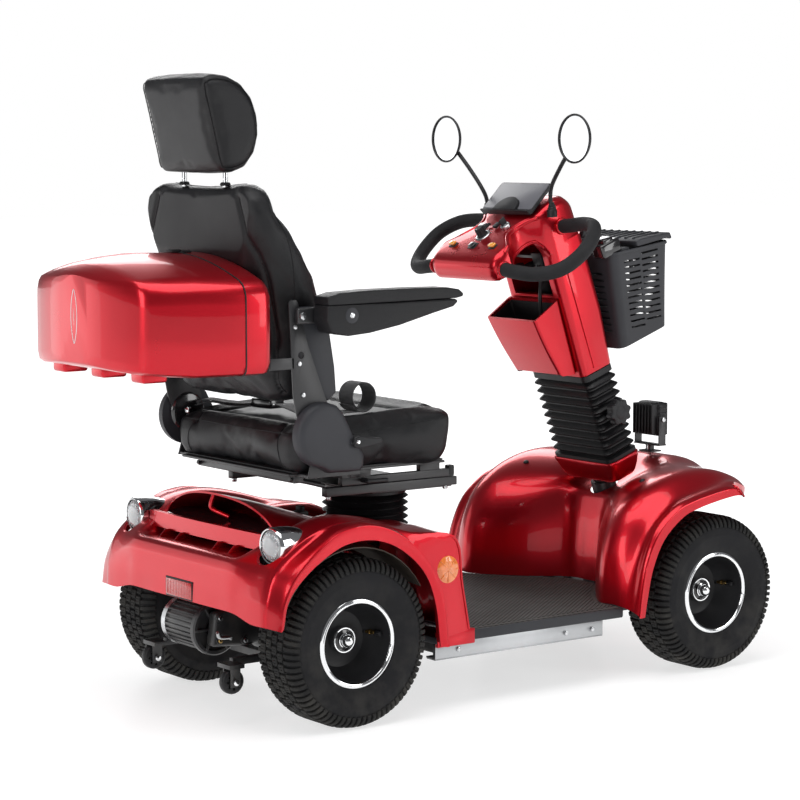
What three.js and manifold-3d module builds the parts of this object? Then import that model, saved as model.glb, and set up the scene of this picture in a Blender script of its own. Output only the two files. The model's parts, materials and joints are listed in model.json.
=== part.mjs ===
// Four-wheel mobility scooter with a captain seat, rear case and front basket.
// Millimetres, +X forward, +Y to the rider's left, +Z up, floor at Z = 0.
// Stations along X are measured from the rear axle; the outer group then centres the length on X = 0.
import * as THREE from "three";
import { mergeVertices } from "three/addons/utils/BufferGeometryUtils.js";
import Module from "manifold-3d";

const wasm = await Module();
wasm.setup();

// ---------- driving dimensions ----------
const LENGTH_CENTRE = 359.5; // rear axle to the middle of the overall length
const WHEELBASE = 932;
const TYRE_R = 165;
const TYRE_HALF_WIDTH = 63.5;
const TRACK_HALF = 263;
const RIM_FLANGE_R = 86;
const RIM_BARREL_R = 79;
const LIP_Y = 335; // outer edge of both pairs of fenders
const SHELL = 4; // moulded panel thickness
const GAP = 0.4; // clearance between neighbouring pieces
const DECK_Z = 154; // top of the floor pan
const LEAN = THREE.MathUtils.degToRad(20.3); // tiller column from vertical, towards the rider
const COLUMN_X = 862; // a point on the steering axis
const COLUMN_Z = 440;
const PIVOT_U = 108; // tiller tilt pivot above that point, along the column
const SEAT_X = 241; // swivel axis of the seat
const SEAT_HALF = 232;
const RAIL_Y = 170; // seat slide rails
const CASE_FRONT = -160; // rear case, flat front wall
const CASE_SEAM = -205;

// ---------- looks ----------
const look = (color, roughness, metalness = 0) =>
  new THREE.MeshStandardMaterial({ color, roughness, metalness });
const RED = look(0xa50f1c, 0.18);
const BLACK_METAL = look(0x17181a, 0.45, 0.6);
const BLACK_PLASTIC = look(0x1b1c1e, 0.5);
const GREY_PLASTIC = look(0x34363a, 0.55);
const RUBBER = look(0x1d1e1f, 0.85);
const LEATHER = look(0x202124, 0.5);
const CHROME = look(0xd8dadd, 0.12, 1);
const ALUMINIUM = look(0xb9bcc0, 0.35, 0.9);
const FOAM = look(0x2b2c2f, 0.9);
const AMBER = look(0xe39a1e, 0.3);
const LENS = look(0xdfe3e6, 0.1);
const WEBBING = look(0x151618, 0.8);

// ---------- solids ----------
function solid(geometry) {
  const g = geometry.index ? geometry.toNonIndexed() : geometry.clone();
  g.deleteAttribute("normal");
  g.deleteAttribute("uv");
  const merged = mergeVertices(g, 1e-3);
  const tri = new Uint32Array(merged.index.array);
  const make = () =>
    new wasm.Manifold(
      new wasm.Mesh({
        numProp: 3,
        vertProperties: merged.attributes.position.array,
        triVerts: tri,
      }),
    );
  let body = make();
  if (body.volume() < 0) {
    for (let i = 0; i < tri.length; i += 3)
      [tri[i + 1], tri[i + 2]] = [tri[i + 2], tri[i + 1]];
    body = make();
  }
  return body;
}
const join = (...bodies) => bodies.reduce((a, b) => a.add(b));
const cut = (body, ...tools) => tools.reduce((a, b) => a.subtract(b), body);

// A box given by its two extreme corners.
function box(x0, x1, y0, y1, z0, z1) {
  const g = new THREE.BoxGeometry(
    Math.abs(x1 - x0),
    Math.abs(y1 - y0),
    Math.abs(z1 - z0),
  );
  g.translate((x0 + x1) / 2, (y0 + y1) / 2, (z0 + z1) / 2);
  return solid(g);
}

// A round bar or cone between two points.
function rod(from, to, r, sides = 12, rEnd = r) {
  const a = new THREE.Vector3(...from);
  const b = new THREE.Vector3(...to);
  const g = new THREE.CylinderGeometry(rEnd, r, a.distanceTo(b), sides);
  const along = b.clone().sub(a).normalize();
  const turn = new THREE.Quaternion().setFromUnitVectors(
    new THREE.Vector3(0, 1, 0),
    along,
  );
  g.applyQuaternion(turn);
  g.translate(...a.add(b).multiplyScalar(0.5).toArray());
  return solid(g);
}

// A round tube section carried along a smooth path.
function bentBar(points, r, steps, sides = 10) {
  const path = new THREE.CatmullRomCurve3(
    points.map((p) => new THREE.Vector3(...p)),
    false,
    "centripetal",
  );
  const section = new THREE.Shape();
  for (let i = 0; i < sides; i++) {
    const a = (2 * Math.PI * i) / sides;
    const at = [r * Math.cos(a), r * Math.sin(a)];
    i ? section.lineTo(...at) : section.moveTo(...at);
  }
  return solid(
    new THREE.ExtrudeGeometry(section, { extrudePath: path, steps }),
  );
}

// A side profile of (x, z) points, thickened between two y values.
function slab(profile, y0, y1) {
  const shape = new THREE.Shape(profile.map(([x, z]) => new THREE.Vector2(x, z)));
  const g = new THREE.ExtrudeGeometry(shape, {
    depth: Math.abs(y1 - y0),
    bevelEnabled: false,
  });
  g.rotateX(Math.PI / 2);
  g.translate(0, Math.max(y0, y1), 0);
  return solid(g);
}

// A plan outline of (x, y) points, thickened between two heights.
function sheet(outline, z0, z1) {
  const shape = new THREE.Shape(outline.map(([x, y]) => new THREE.Vector2(x, y)));
  const g = new THREE.ExtrudeGeometry(shape, {
    depth: z1 - z0,
    bevelEnabled: false,
  });
  g.translate(0, 0, z0);
  return solid(g);
}

// A turned piece: profile of (radius, height) points, its axis along z.
function turned(profile, segments) {
  const g = new THREE.LatheGeometry(
    profile.map(([r, h]) => new THREE.Vector2(r, h)),
    segments,
  );
  g.rotateX(Math.PI / 2);
  return g;
}

// A closed body through a stack of rings that hold the same number of points.
function loft(rings) {
  const n = rings[0].length;
  const at = [];
  const tri = (a, b, c) => at.push(...a, ...b, ...c);
  for (let k = 0; k + 1 < rings.length; k++)
    for (let i = 0; i < n; i++) {
      const j = (i + 1) % n;
      tri(rings[k][i], rings[k][j], rings[k + 1][i]);
      tri(rings[k][j], rings[k + 1][j], rings[k + 1][i]);
    }
  const middle = (ring) =>
    [0, 1, 2].map((c) => ring.reduce((s, p) => s + p[c], 0) / n);
  const low = middle(rings[0]);
  const high = middle(rings.at(-1));
  for (let i = 0; i < n; i++) {
    const j = (i + 1) % n;
    tri(low, rings[0][j], rings[0][i]);
    tri(high, rings.at(-1)[i], rings.at(-1)[j]);
  }
  const g = new THREE.BufferGeometry();
  g.setAttribute("position", new THREE.Float32BufferAttribute(at, 3));
  return solid(g);
}

// Points round a rounded rectangle in two coordinates.
function roundRect(a0, a1, b0, b1, r, corner = 3) {
  const out = [];
  const centres = [
    [a1 - r, b1 - r, 0],
    [a0 + r, b1 - r, 90],
    [a0 + r, b0 + r, 180],
    [a1 - r, b0 + r, 270],
  ];
  for (const [ca, cb, from] of centres)
    for (let i = 0; i <= corner; i++) {
      const t = THREE.MathUtils.degToRad(from + (90 * i) / corner);
      out.push([ca + r * Math.cos(t), cb + r * Math.sin(t)]);
    }
  return out;
}

// A moulded panel: a grid of points, given thickness along its normals.
function panel(grid, thickness) {
  const rows = grid.length;
  const cols = grid[0].length;
  const p = (i, j) => new THREE.Vector3(...grid[i][j]);
  const under = grid.map((row, i) =>
    row.map((_, j) => {
      const du = p(Math.min(i + 1, rows - 1), j).sub(p(Math.max(i - 1, 0), j));
      const dv = p(i, Math.min(j + 1, cols - 1)).sub(p(i, Math.max(j - 1, 0)));
      const n = du.cross(dv).normalize().multiplyScalar(-thickness);
      return p(i, j).add(n).toArray();
    }),
  );
  const at = [];
  const quad = (a, b, c, d) => at.push(...a, ...b, ...c, ...a, ...c, ...d);
  for (let i = 0; i + 1 < rows; i++)
    for (let j = 0; j + 1 < cols; j++) {
      quad(grid[i][j], grid[i + 1][j], grid[i + 1][j + 1], grid[i][j + 1]);
      quad(under[i][j], under[i][j + 1], under[i + 1][j + 1], under[i + 1][j]);
    }
  for (let i = 0; i + 1 < rows; i++) {
    const e = cols - 1;
    quad(grid[i][0], under[i][0], under[i + 1][0], grid[i + 1][0]);
    quad(grid[i][e], grid[i + 1][e], under[i + 1][e], under[i][e]);
  }
  for (let j = 0; j + 1 < cols; j++) {
    const e = rows - 1;
    quad(grid[0][j], grid[0][j + 1], under[0][j + 1], under[0][j]);
    quad(grid[e][j], under[e][j], under[e][j + 1], grid[e][j + 1]);
  }
  const g = new THREE.BufferGeometry();
  g.setAttribute("position", new THREE.Float32BufferAttribute(at, 3));
  return solid(g);
}

// Resamples the side profile of one station of a panel to a given number of points.
function profilePoints(points, count) {
  const curve = new THREE.CatmullRomCurve3(
    points.map(([x, z]) => new THREE.Vector3(x, 0, z)),
    false,
    "catmullrom",
    0.5,
  );
  const out = [];
  for (let i = 0; i < count; i++) {
    const q = curve.getPoint(i / (count - 1));
    out.push([q.x, q.z]);
  }
  return out;
}

// A panel across the whole width from stations (y, side profile) of the left half.
function bodyPanel(stations, count, thickness) {
  const left = stations.map(([y, pts]) => [y, profilePoints(pts, count)]);
  const right = left
    .filter(([y]) => y > 0)
    .map(([y, pts]) => [-y, pts])
    .reverse();
  const grid = [...left, ...right].map(([y, pts]) =>
    pts.map(([x, z]) => [x, y, z]),
  );
  return panel(grid, thickness);
}

// ---------- the assembly ----------
const group = new THREE.Group();
group.position.x = -LENGTH_CENTRE;
const tiller = new THREE.Group(); // local +z runs up the column, +x forward of it
tiller.position.set(COLUMN_X, 0, COLUMN_Z);
tiller.rotation.y = -LEAN;
group.add(tiller);

function add(name, body, material, parent = group) {
  const made = body.getMesh();
  const g = new THREE.BufferGeometry();
  g.setAttribute(
    "position",
    new THREE.Float32BufferAttribute(made.vertProperties, 3),
  );
  g.setIndex([...made.triVerts]);
  const flat = g.toNonIndexed();
  flat.computeVertexNormals();
  const mesh = new THREE.Mesh(flat, material);
  mesh.name = name;
  parent.add(mesh);
  return mesh;
}

// ---------- wheels ----------
const rimProfile = [
  [0, 30],
  [10, 26],
  [13, 8],
  [24, 7],
  [31, -8],
  [72, -12],
  [76, 50],
  [84, 53],
  [RIM_FLANGE_R, 51],
  [RIM_BARREL_R, 46.5],
  [RIM_BARREL_R, -46.5],
  [RIM_FLANGE_R, -51],
  [84, -53],
  [75, -50],
  [72, -18],
  [26, -18],
  [24, -34],
  [10.6, -34],
  [10.6, 4],
  [0, 4],
];
const sidewall = [
  [RIM_BARREL_R + 1, 44],
  [RIM_FLANGE_R + 1.5, 49],
  [106, 61],
  [130, TYRE_HALF_WIDTH],
  [153, 57],
  [TYRE_R, 32],
];
const tyreProfile = [
  ...sidewall,
  ...sidewall.map(([r, t]) => [r, -t]).reverse(),
];
tyreProfile.push(tyreProfile[0]);
const wheels = [
  ["rear_left", 0, 1],
  ["rear_right", 0, -1],
  ["front_left", WHEELBASE, 1],
  ["front_right", WHEELBASE, -1],
];
for (const [where, x, side] of wheels) {
  const hub = new THREE.Group();
  hub.position.set(x, side * TRACK_HALF, TYRE_R);
  hub.rotation.x = (-side * Math.PI) / 2;
  group.add(hub);
  add(where + "_rim", solid(turned(rimProfile, 14)), BLACK_METAL, hub);
  add(where + "_tyre", solid(turned(tyreProfile, 20)), RUBBER, hub);
}

// ---------- frame ----------
const column = (v, y, u) => [
  COLUMN_X + v * Math.cos(LEAN) - u * Math.sin(LEAN),
  y,
  COLUMN_Z + v * Math.sin(LEAN) + u * Math.cos(LEAN),
];
const HEAD_LOW = column(0, 0, -135);
const HEAD_HIGH = column(0, 0, -66);
let frame = join(
  box(-61, 900, 100, 125, 108, 132),
  box(-61, 900, -125, -100, 108, 132),
  ...[175, 330, 600, 872].map((x) => box(x, x + 25, -110, 110, 108, 132)),
  ...[235, 590].map((x) => box(x, x + 22, -281, 281, 107, 130)),
);
for (const s of [1, -1]) {
  frame = join(
    frame,
    // sill rail: an angle along each side of the floor
    box(205, 640, s * 258, s * 284, 104, 107.5),
    box(205, 640, s * 280, s * 284, 104, 134),
    // drive unit hanger, shock turret and body stay
    box(-25, 25, s * 100, s * 112, 131, 143),
    slab([[60, 131], [100, 131], [95, 300], [68, 300]], s * 104, s * 118),
    box(60, 175, s * 106, s * 116, 180, 196),
    box(165, 180, s * 104, s * 118, 131, 200),
    // kingpin yoke
    box(914, 950, s * 100, s * 146, 108, 124),
    box(914, 950, s * 139, s * 146, 108, 208),
    box(914, 950, s * 139, s * 184, 200, 208),
    box(914, 950, s * 139, s * 184, 122, 130),
  );
}
const postSocket = join(
  rod([SEAT_X, 0, 112], [SEAT_X, 0, 322], 30, 14),
  box(175, 355, -30, 30, 112, 128),
);
const headTube = join(
  rod(HEAD_LOW, HEAD_HIGH, 27, 14),
  slab([[872, 131], [940, 131], [926, 325], [893, 340]], -12, 12),
  box(872, 940, -110, 110, 112, 131.5),
);
frame = cut(
  join(frame, postSocket, headTube),
  rod([SEAT_X, 0, 140], [SEAT_X, 0, 340], 25.8, 14),
  rod(column(0, 0, -128), column(0, 0, -50), 18.8, 14),
);
add("chassis_frame", frame, BLACK_METAL);

const pan = cut(
  sheet(
    [
      [205, -292],
      [690, -292],
      [690, -270],
      [752, -118],
      [790, -96],
      [840, -60],
      [840, 60],
      [790, 96],
      [752, 118],
      [690, 270],
      [690, 292],
      [205, 292],
    ],
    135,
    DECK_Z,
  ),
  box(180, 284, -300, 300, 149, 160),
  rod([SEAT_X, 0, 100], [SEAT_X, 0, 200], 32, 20),
);
add("floor_pan", pan, GREY_PLASTIC);
add(
  "floor_mat",
  sheet(
    [
      [285, -289],
      [684, -289],
      [684, -222],
      [756, -124],
      [822, -62],
      [832, 0],
      [822, 62],
      [756, 124],
      [684, 222],
      [684, 289],
      [285, 289],
      [285, 150],
      [344, 96],
      [344, -96],
      [285, -150],
    ],
    DECK_Z + GAP,
    DECK_Z + 4.5,
  ),
  RUBBER,
);

const MOTOR_X = -141;
const MOTOR_Z = 166;
const driveUnit = join(
  turnedBody([0, 0, TYRE_R], [0, 1, 0], [
    [0, -66],
    [44, -66],
    [62, -48],
    [62, -8],
    [40, 6],
    [26, 20],
    [0, 20],
  ], 16),
  rod([0, 196, TYRE_R], [0, -196, TYRE_R], 22, 14),
  rod([0, 262, TYRE_R], [0, -262, TYRE_R], 10, 12),
  rod([MOTOR_X, 106, MOTOR_Z], [MOTOR_X, -20, MOTOR_Z], 48, 14),
  rod([MOTOR_X, 115, MOTOR_Z], [MOTOR_X, 105, MOTOR_Z], 42, 14),
  rod([MOTOR_X, -18, MOTOR_Z], [MOTOR_X, -32, MOTOR_Z], 53, 14),
  slab([[-168, 134], [-30, 134], [-30, 205], [-160, 204]], -30, -58),
  ...[1, -1].map((s) => box(-20, 20, s * 98, s * 114, 143.6, 182)),
);
add("drive_unit", driveUnit, BLACK_METAL);

// A turned body with its axis along a given direction.
function turnedBody(at, axis, profile, segments) {
  const g = turned(profile, segments);
  g.applyQuaternion(
    new THREE.Quaternion().setFromUnitVectors(
      new THREE.Vector3(0, 0, 1),
      new THREE.Vector3(...axis).normalize(),
    ),
  );
  g.translate(...at);
  return solid(g);
}

add("battery_pack", box(67, 166, -96, 96, 134, 300), BLACK_PLASTIC);

// anti-tip frame and its two small wheels
const TIP_X = -179;
const TIP_Y = 146;
const TIP_Z = 86;
const tipArms = [1, -1].map((s) =>
  join(
    box(-150, -62, s * 118, s * 130, 112, 126),
    box(TIP_X - 14, TIP_X + 20, s * 118, s * 162, 112, 120),
    box(-165, -150, s * 118, s * 130, 112, 126),
    box(TIP_X - 10, TIP_X + 12, s * 132, s * 135, 76, 114),
    box(TIP_X - 10, TIP_X + 12, s * 157, s * 160, 76, 114),
    rod([TIP_X, s * 133, TIP_Z], [TIP_X, s * 163, TIP_Z], 4, 10),
  ),
);
add(
  "anti_tip_frame",
  join(...tipArms, box(-84, -64, -130, 130, 112, 126)),
  BLACK_METAL,
);
for (const [where, s] of [["left", 1], ["right", -1]])
  add(
    where + "_anti_tip_wheel",
    turnedBody([TIP_X, s * TIP_Y, TIP_Z], [0, 1, 0], [
      [4.5, -9.5],
      [20, -9.5],
      [24.5, -6],
      [24.5, 6],
      [20, 9.5],
      [4.5, 9.5],
      [4.5, -9.5],
    ], 16),
    RUBBER,
  );

// ---------- steering linkage ----------
const KING_Y = 166;
for (const [where, s] of [["left", 1], ["right", -1]]) {
  const knuckle = join(
    rod([WHEELBASE, s * KING_Y, 130.6], [WHEELBASE, s * KING_Y, 199.4], 14, 14),
    rod([WHEELBASE, s * KING_Y, TYRE_R], [WHEELBASE, s * 264, TYRE_R], 10, 12),
    rod([WHEELBASE, s * (KING_Y + 10), TYRE_R], [WHEELBASE, s * 218, TYRE_R], 15, 12),
    box(872, WHEELBASE, s * 160, s * 172, 150, 160),
    rod([872, s * KING_Y, 144], [872, s * KING_Y, 162], 10, 12),
  );
  add(where + "_knuckle", knuckle, BLACK_METAL);
}
add(
  "tie_rod",
  join(
    rod([866, 158, 138], [866, -158, 138], 6, 10),
    ...[1, -1].map((s) => rod([868, s * KING_Y, 133], [868, s * KING_Y, 143.6], 12, 12)),
  ),
  BLACK_METAL,
);

// ---------- rear body ----------
const rearLipInner = [
  [-205, 216],
  [-172, 268],
  [-135, 308],
  [-79, 346],
  [-30, 364],
  [30, 364],
  [90, 340],
  [145, 290],
  [172, 225],
  [184, 140],
];
const rearLip = [
  [-216, 213],
  [-185, 270],
  [-146, 318],
  [-80, 370],
  [-30, 389],
  [30, 389],
  [95, 362],
  [156, 306],
  [192, 235],
  [204, 138],
];
const rearCorner = [
  [-199, 213],
  [-194, 270],
  [-170, 326],
  [-105, 376],
  [-30, 398],
  [50, 392],
  [140, 366],
  [243, 345],
  [264, 250],
  [281, DECK_Z + 4],
];
const rearInner = [
  [-201, 217],
  [-199, 272],
  [-184, 328],
  [-112, 372],
  [-30, 396],
  [50, 390],
  [140, 372],
  [240, 349],
  [262, 250],
  [280, DECK_Z + 4],
];
const rearWell = [
  [-203, 221],
  [-204, 275],
  [-196, 326],
  [-150, 333],
  [-60, 338],
  [30, 352],
  [130, 366],
  [238, 350],
  [261, 250],
  [280, DECK_Z + 4],
];
const rearHousing = [
  [-203, 221],
  [-204, 275],
  [-196, 326],
  [-150, 333],
  [-60, 338],
  [50, 350],
  [140, 320],
  [300, 318],
  [332, 290],
  [338, DECK_Z + 4],
];
const rearPanel = bodyPanel(
  [
    [LIP_Y - 1, rearLipInner],
    [LIP_Y, rearLip],
    [LIP_Y - 10, rearLip.map(([x, z]) => [x * 1.015, z + 4])],
    [LIP_Y - 36, rearLip.map(([x, z]) => [x * 1.015, z + 4])],
    [LIP_Y - 42, rearCorner],
    [250, rearCorner.map(([x, z], i) => [x, z + (i > 2 && i < 7 ? 6 : 0)])],
    [205, rearInner],
    [176, rearWell],
    [138, rearWell],
    [92, rearHousing],
    [0, rearHousing],
  ],
  13,
  SHELL,
);
const domeStations = [
  [200, 372, 362, 352],
  [186, 398, 380, 356],
  [150, 421, 396, 364],
  [90, 436, 408, 369],
  [0, 441, 412, 371],
];
const dome = bodyPanel(
  domeStations.map(([y, zRear, zMid, zFront]) => [
    y,
    [
      [-128 - (200 - y) * 0.12, zRear],
      [-50, zMid],
      [80, zFront],
    ],
  ]),
  6,
  SHELL,
);
const trayLip = slab([[-146, 345], [-140, 345], [-134, 374], [-141, 374]], -214, 214);
const tunnel = rod([SEAT_X, 0, 290], [SEAT_X, 0, 420], 42, 20);
add(
  "rear_body_shell",
  cut(
    join(rearPanel, dome, trayLip),
    tunnel,
    ...[1, -1].map((s) =>
      rod([-228, s * 258.2, 358.6], [-114, s * 251.4, 360.9], 35.8, 16),
    ),
  ),
  RED,
);
for (const [where, s] of [["left", 1], ["right", -1]])
  add(
    where + "_rear_lamp",
    turnedBody([-158, s * 254, 360], [-1, s * 0.06, -0.02], [
      [0, 4],
      [20, 3],
      [29, 0],
      [33, -5],
      [34, -14],
      [34, -40],
      [0, -40],
    ], 16),
    CHROME,
  );

// ---------- front body ----------
const frontLip = [
  [701, 138],
  [708, 190],
  [722, 250],
  [753, 310],
  [806, 353],
  [850, 368],
  [893, 377],
  [930, 383],
  [958, 386],
  [976, 384],
];
const frontCrown = [
  [690, DECK_Z + 4],
  [690, 215],
  [702, 285],
  [735, 345],
  [790, 388],
  [860, 414],
  [930, 422],
  [985, 417],
  [1035, 400],
  [1062, 380],
];
const frontFlank = [
  [764, DECK_Z + 4],
  [764, 215],
  [772, 285],
  [795, 340],
  [830, 376],
  [880, 398],
  [945, 412],
  [1010, 416],
  [1080, 396],
  [1112, 360],
];
const frontValley = [
  [842, DECK_Z + 4],
  [842, 215],
  [846, 275],
  [853, 325],
  [868, 356],
  [912, 376],
  [960, 396],
  [1040, 424],
  [1120, 402],
  [1150, 350],
];
const frontPanel = bodyPanel(
  [
    [LIP_Y - 1, frontLip.map(([x, z]) => [x + 14, z - 14])],
    [LIP_Y, frontLip],
    [LIP_Y - 12, frontLip.map(([x, z]) => [x - 3, z + 6])],
    [LIP_Y - 34, frontLip.map(([x, z], i) => [x - 4 + 2.5 * i, z + 14])],
    [262, frontCrown.map(([x, z], i) => [x, i < 2 ? z : z - 2])],
    [215, frontCrown],
    [120, frontFlank],
    [60, frontValley.map(([x, z]) => [x - 8, z])],
    [0, frontValley],
  ],
  13,
  SHELL,
);
add(
  "front_body_shell",
  cut(frontPanel, rod(column(0, 0, -120), column(0, 0, 60), 40, 20)),
  RED,
);
add(
  "headlamp_bracket",
  join(
    box(1008, 1040, -20, 20, 430.5, 434),
    box(1012, 1036, -41, 41, 446, 449),
    box(1018, 1030, -8, 8, 433, 447),
    ...[1, -1].map((s) => box(1014, 1034, s * 38, s * 41, 446, 512)),
  ),
  CHROME,
);
const lampBody = join(
  box(1016, 1046, -36, 36, 467, 543),
  ...[0, 1, 2, 3, 4].map((i) => box(1000, 1018, -33 + 15 * i, -27 + 15 * i, 471, 539)),
);
add("headlamp", lampBody, BLACK_METAL);

// ---------- tiller ----------
const ringAt = (u, v0, v1, halfY, r) =>
  roundRect(v0, v1, -halfY, halfY, r, 2).map(([v, y]) => [v, y, u]);
const collar = loft([
  ringAt(-50, -34, 36, 84, 20),
  ringAt(-30, -40, 42, 94, 22),
  ringAt(-1, -43, 46, 101, 22),
]);
const clevis = [1, -1].map((s) =>
  box(-18, 18, s * 22, s * 30, 70, PIVOT_U + 20),
);
const steeringColumn = cut(
  join(
    collar,
    rod([0, 0, -126], [0, 0, 80], 17.5, 18),
    box(-16, 16, -30, 30, 66, 78),
    ...clevis,
  ),
  rod([0, -40, PIVOT_U], [0, 40, PIVOT_U], 6.6, 12),
);
add("steering_column", steeringColumn, RED, tiller);

const PLEATS = 8;
const bellowsRings = [ringAt(0, -40, 43, 97, 20)];
for (let i = 0; i < PLEATS; i++) {
  const u0 = 6 + (190 * i) / PLEATS;
  const u1 = 6 + (190 * (i + 0.5)) / PLEATS;
  bellowsRings.push(ringAt(u0, -35, 38, 88, 18), ringAt(u1, -43, 46, 97, 22));
}
bellowsRings.push(ringAt(198, -35, 38, 84, 18), ringAt(203.5, -38, 41, 87, 18));
const bellows = cut(
  loft(bellowsRings),
  loft([ringAt(-5, -28, 31, 76, 14), ringAt(210, -28, 31, 76, 14)]),
  rod([0, -60, PIVOT_U], [0, -120, PIVOT_U], 9, 12),
);
add("tiller_gaiter", bellows, RUBBER, tiller);

const mast = join(
  rod([0, 0, PIVOT_U], [0, 0, 470], 16, 16),
  rod([0, -21, PIVOT_U], [0, 21, PIVOT_U], 17, 16),
  rod([0, -31, PIVOT_U], [0, 31, PIVOT_U], 6, 12),
  box(-26, 26, -50, 50, 470, 476),
);
add("tilt_mast", mast, BLACK_METAL, tiller);
const knobStar = new THREE.Shape();
for (let i = 0; i < 32; i++) {
  const a = (2 * Math.PI * i) / 32;
  const r = 27 + 2.6 * Math.cos(8 * a);
  const at = [r * Math.cos(a), PIVOT_U + r * Math.sin(a)];
  i ? knobStar.lineTo(...at) : knobStar.moveTo(...at);
}
add(
  "tilt_knob",
  join(
    slab(knobStar.getPoints().map((p) => [p.x, p.y]), -108, -130),
    rod([0, -100, PIVOT_U], [0, -109, PIVOT_U], 14, 16),
    rod([0, -32, PIVOT_U], [0, -120, PIVOT_U], 6, 12),
  ),
  BLACK_PLASTIC,
  tiller,
);

// tower and console: one moulded cover
const coverRing = (v, halfY, u0, u1, r) =>
  roundRect(-halfY, halfY, u0, u1, r, 2).map(([y, u]) => [v, y, u]);
const consoleBody = loft([
  coverRing(-205, 100, 496, 522, 12),
  coverRing(-200, 110, 489, 532, 16),
  coverRing(-166, 113, 492, 549, 16),
  coverRing(-146, 94, 496, 556, 16),
  coverRing(-122, 68, 504, 563, 16),
  coverRing(-85, 63, 518, 569, 16),
  coverRing(-62, 72, 522, 572, 18),
  coverRing(-42, 90, 470, 578, 20),
  coverRing(0, 93, 466, 592, 22),
  coverRing(36, 90, 466, 590, 24),
  coverRing(56, 82, 470, 576, 26),
  coverRing(63, 70, 482, 556, 26),
]);
const towerBody = loft([
  ringAt(204.5, -44, 44, 92, 16),
  ringAt(330, -42, 57, 93, 18),
  ringAt(500, -40, 60, 93, 20),
]);
const tillerCover = cut(
  join(consoleBody, towerBody),
  loft([ringAt(195, -37, 37, 80, 12), ringAt(330, -35, 49, 80, 12), ringAt(455, -33, 50, 80, 12)]),
  box(-60, 34, -64, 64, 392, 524),
);
add("tiller_cover", tillerCover, RED, tiller);

for (const [where, s] of [["left", 1], ["right", -1]]) {
  const path = [
    [-184, 112, 512],
    [-184, 150, 508],
    [-172, 200, 500],
    [-140, 243, 500],
    [-96, 262, 514],
    [-52, 256, 532],
    [-14, 224, 542],
    [6, 172, 540],
    [8, 120, 534],
    [8, 92, 532],
  ].map(([v, y, u]) => [v, s * y, u]);
  const grip = cut(
    bentBar(path, 15, 14, 8),
    box(-230, -100, s * 60, s * 113.5, 470, 560),
    box(-80, 60, s * 60, s * 93.5, 470, 600),
  );
  add(where + "_hand_grip", grip, FOAM, tiller);
}

const binOuter = slab([[-122, 368], [-44.5, 386], [-44.5, 214], [-91, 236]], -82, 82);
const binInner = slab([[-117, 410], [-48.5, 410], [-48.5, 220], [-88, 241]], -78, 78);
const binTaper = [1, -1].map((s) =>
  loft([
    [[-140, s * 75, 200], [-30, s * 75, 200], [-30, s * 100, 200], [-140, s * 100, 200]],
    [[-140, s * 83, 400], [-30, s * 83, 400], [-30, s * 100, 400], [-140, s * 100, 400]],
  ]),
);
add("storage_bin", cut(binOuter, binInner, ...binTaper), RED, tiller);

const holder = slab(
  [[-58, 588], [-54, 580], [24, 617], [20, 625]],
  -84,
  84,
);
const holderNeck = slab([[-36, 590], [6, 610], [6, 595.4], [-36, 582.6]], -40, 40);
add("display_holder", join(holder, holderNeck), GREY_PLASTIC, tiller);

// controls stand on the console's sloping top, about 25 degrees to the column
const topAt = (v) => 549 + ((v + 166) * (563 - 549)) / 44;
const TOP_TILT = Math.atan2(14, 44);
const topNormal = [-Math.sin(TOP_TILT), 0, Math.cos(TOP_TILT)];
const onTop = (v, y, lift) => [
  v + topNormal[0] * lift,
  y,
  topAt(v) + topNormal[2] * lift,
];
add(
  "speed_knob",
  join(
    rod(onTop(-128, 0, 0.8), onTop(-128, 0, 5), 15, 20),
    rod(onTop(-128, 0, 4), onTop(-128, 0, 22), 11, 16, 10),
  ),
  BLACK_PLASTIC,
  tiller,
);
const button = (y, halfY, lift) =>
  rod(onTop(-160, y, 2.2), onTop(-160, y, lift), halfY, 4);
add("left_indicator_button", button(67, 9, 8), AMBER, tiller);
add("right_indicator_button", button(-67, 9, 8), AMBER, tiller);
add("horn_button", button(0, 11, 6), BLACK_PLASTIC, tiller);
add(
  "key_switch",
  join(
    rod(onTop(-96, -42, 1.6), onTop(-96, -42, 8), 11, 16),
    rod(onTop(-96, -42, 7), onTop(-96, -42, 20), 6, 12),
  ),
  BLACK_PLASTIC,
  tiller,
);
add(
  "throttle_lever",
  join(
    rod([-62, 0, 446], [-62, 0, 470], 13, 14),
    rod([-62, 0, 455], [-19, 0, 455], 7, 10),
    bentBar(
      [
        [-96, -112, 470],
        [-84, -70, 466],
        [-64, -10, 462],
        [-64, 10, 462],
        [-84, 70, 466],
        [-96, 112, 470],
      ],
      6,
      9,
      6,
    ),
  ),
  BLACK_PLASTIC,
  tiller,
);

for (const [where, s] of [["left", 1], ["right", -1]]) {
  // world-frame mirror: round head facing straight back on a bent stalk
  const headAt = [619, s * 216, 1125];
  const mirror = join(
    rod([612, headAt[1], headAt[2]], [624, headAt[1], headAt[2]], 51, 20, 46),
    bentBar(
      [
        [646, s * 108, 976],
        [640, s * 108, 1000],
        [632, s * 124, 1030],
        [626, s * 158, 1068],
        [622, s * 186, 1096],
      ],
      4.5,
      7,
      6,
    ),
    rod([646, s * 108, 962], [645, s * 108, 988], 11, 8, 7),
  );
  add(where + "_mirror", mirror, BLACK_PLASTIC);
}

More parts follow.
